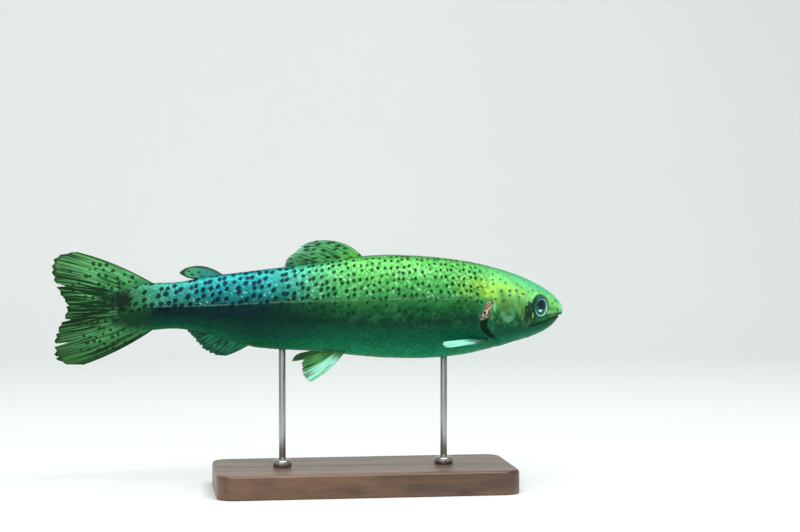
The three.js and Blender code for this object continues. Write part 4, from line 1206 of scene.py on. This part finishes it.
def wood_finish():
    finish = Finish("stand_walnut", Coat_Weight=0.25, Coat_Roughness=0.25)
    where = finish.here()
    x, y, z = finish.node("ShaderNodeSeparateXYZ", None, where)
    drift = finish.noise(where, 9.0, 3.0)
    rings = finish.noise(finish.vector(x * 3.0, y * 60 + drift * 2.2, z * 40), 1.6, 5.0, 0.6)
    pores = finish.noise(finish.vector(x * 60, y * 900, z * 900), 1.4, 3.0, 0.6)
    colour = finish.mix(rings.ease(0.35, 0.68), paint(112, 78, 54), paint(66, 42, 28))
    colour = finish.mix(pores.ease(0.6, 0.72) * 0.5, colour, paint(40, 25, 17))
    grain = finish.bump(rings - pores, 0.0002, 0.35)
    finish.feed(Base_Color=colour, Roughness=0.36 + rings * 0.14, Normal=grain)
    return finish.material


def steel_finish():
    finish = Finish("stand_steel", Metallic=1.0)
    where = finish.here()
    x, y, z = finish.node("ShaderNodeSeparateXYZ", None, where)
    brushed = finish.noise(finish.vector(x * 300, y * 300, z * 9000), 1.0, 3.0, 0.6)
    colour = finish.mix(brushed, paint(150, 150, 148), paint(186, 186, 182))
    grain = finish.bump(brushed, 0.00005, 0.5)
    finish.feed(Base_Color=colour, Roughness=0.22 + brushed * 0.16, Normal=grain)
    return finish.material


def spun(name, x, outline, sides):
    """A round solid about an upright axis, its outline given as (radius, height) in mm."""
    outline = np.asarray(outline, float)
    turn = 2 * math.pi * np.arange(sides) / sides
    y = float(bend_at(SNOUT_X - x))
    ring = np.stack([x + outline[:, None, 0] * np.cos(turn), y + outline[:, None, 0] * np.sin(turn),
                     np.repeat(outline[:, 1:], sides, 1)], -1)
    points = ring.reshape(-1, 3) / 1000
    first, last = np.arange(sides)[None, ::-1], (len(outline) - 1) * sides + np.arange(sides)[None]
    return mesh_piece(name, points, [tube_faces(len(outline), sides), first, last])


def make_stand():
    base = {"long": 176, "wide": 76, "high": 14, "corner": 10}
    rod, into_belly, collar = 2.0, 12, 5.5
    wood, steel = wood_finish(), steel_finish()
    corner = []
    for quarter, (x, y) in enumerate(((1, 1), (-1, 1), (-1, -1), (1, -1))):
        for part in range(13):
            turn = (quarter + part / 12) * math.pi / 2
            corner.append((x * (base["long"] / 2 - base["corner"]), y * (base["wide"] / 2 - base["corner"]),
                           math.cos(turn), math.sin(turn)))
    corner = np.array(corner)
    # how far in the base's edge is at each height, with a small round below and a bigger one above
    shoulder = 2.4
    levels = [(1.2, 0.0), (0.35, 0.35), (0.0, 1.2), (0.0, base["high"] - shoulder)]
    for t in np.linspace(0.3, math.pi / 2, 6):
        levels.append((1.5 * (1 - math.cos(t)), base["high"] - shoulder + shoulder * math.sin(t)))
    levels += [(2.6, base["high"]), (14.0, base["high"])]
    rings = []
    for inset, z in levels:
        reach = max(base["corner"] - inset, 0.4)
        pull = max(inset - base["corner"] + 0.4, 0)
        rings.append(np.stack([corner[:, 0] - np.sign(corner[:, 0]) * pull + corner[:, 2] * reach,
                               corner[:, 1] - np.sign(corner[:, 1]) * pull + corner[:, 3] * reach,
                               np.full(len(corner), z)], -1))
    points = np.vstack(rings) / 1000
    sides = len(corner)
    caps = [np.arange(sides)[None, ::-1], (len(rings) - 1) * sides + np.arange(sides)[None]]
    piece = mesh_piece("stand_board", points, [tube_faces(len(rings), sides)] + caps)
    finished(piece, wood, ["stand_base"])
    for name, x in (("front", 48.0), ("rear", -48.0)):
        top = SNOUT_HEIGHT + float(belly_at(SNOUT_X - x)) + into_belly
        outline = [(rod - 0.3, 6.1), (rod, 6.5), (rod, 40), (rod, top - 0.5), (rod - 0.4, top - 0.1)]
        finished(spun(f"stand_post_{name}", x, outline, 40), steel, [f"stand_rod_{name}"])
        outline = [(rod + 0.35, 14.3), (collar - 0.2, 14.3), (collar, 14.6), (collar, 17.0),
                   (collar - 0.25, 17.6), (collar - 0.9, 18.2), (rod + 0.9, 18.3), (rod + 0.35, 18.1)]
        finished(spun(f"stand_ring_{name}", x, outline, 48), steel, [f"stand_collar_{name}"])


# ---------------------------------------------------------------- floor, lights and camera

# Where the camera is and what it looks at, in metres, and half its angle of view in degrees.
CAMERA = {"at": (-0.1328, -1.1002, 0.1703), "towards": (0.0218, 0.0, 0.1315), "half_view": 12}


def make_stage():
    finish = Finish("pale_sweep", Roughness=0.8)
    mottle = finish.noise(finish.here(), 2.0)
    finish.feed(Base_Color=finish.mix(mottle, (0.74, 0.76, 0.75), (0.78, 0.8, 0.79)))
    bend = [(-3.0, 0.0), (0.9, 0.0)]
    bend += [(0.9 + 0.6 * math.sin(t), 0.6 - 0.6 * math.cos(t)) for t in np.linspace(0.1, math.pi / 2, 16)]
    bend += [(1.5, 3.0)]
    points = np.array([(x, y, z) for y, z in bend for x in (-4.0, 4.0)])
    sweep = mesh_piece("floor_sweep", points, [sheet_faces(len(bend), 2, 0, True)])
    sweep.data.materials.append(finish.material)


def aimed(thing, at, target):
    """Sets a lamp or camera in its place, turned towards another place."""
    x, y, z = np.array(target, float) - np.array(at, float)
    thing.location = at
    thing.rotation_euler = (math.pi / 2 + math.atan2(z, math.hypot(x, y)), 0, math.atan2(y, x) - math.pi / 2)
    bpy.context.scene.collection.objects.link(thing)
    return thing


def add_light(name, at, target, power, size):
    lamp = bpy.data.lights.new(name, "AREA")
    lamp.shape, lamp.size, lamp.energy = "DISK", size, power
    aimed(bpy.data.objects.new(name, lamp), at, target)


def add_lights():
    fish = (0.0, 0.0, 0.1)
    add_light("overhead", (0.0, -0.5, 1.5), fish, 30, 1.8)
    add_light("front_fill", (-0.6, -1.6, 0.5), fish, 4, 1.4)
    add_light("glint", (0.35, -0.55, 0.9), fish, 1.2, 0.06)
    world = bpy.data.worlds.new("studio")
    world.use_nodes = True
    sky = world.node_tree.nodes["Background"].inputs
    sky["Color"].default_value, sky["Strength"].default_value = (0.9, 0.97, 0.95, 1), 0.5
    bpy.context.scene.world = world


def add_camera():
    lens = bpy.data.cameras.new("camera")
    lens.sensor_width = 36
    lens.lens = lens.sensor_width / 2 / math.tan(math.radians(CAMERA["half_view"]))
    lens.clip_start = 0.05
    camera = bpy.data.objects.new("camera", lens)
    bpy.context.scene.camera = aimed(camera, CAMERA["at"], CAMERA["towards"])


bpy.context.scene.view_settings.view_transform = "Standard"
add_camera()
make_skin()
make_scales()
make_fins()
make_eyes()
make_gills()
make_stand()
make_stage()
add_lights()
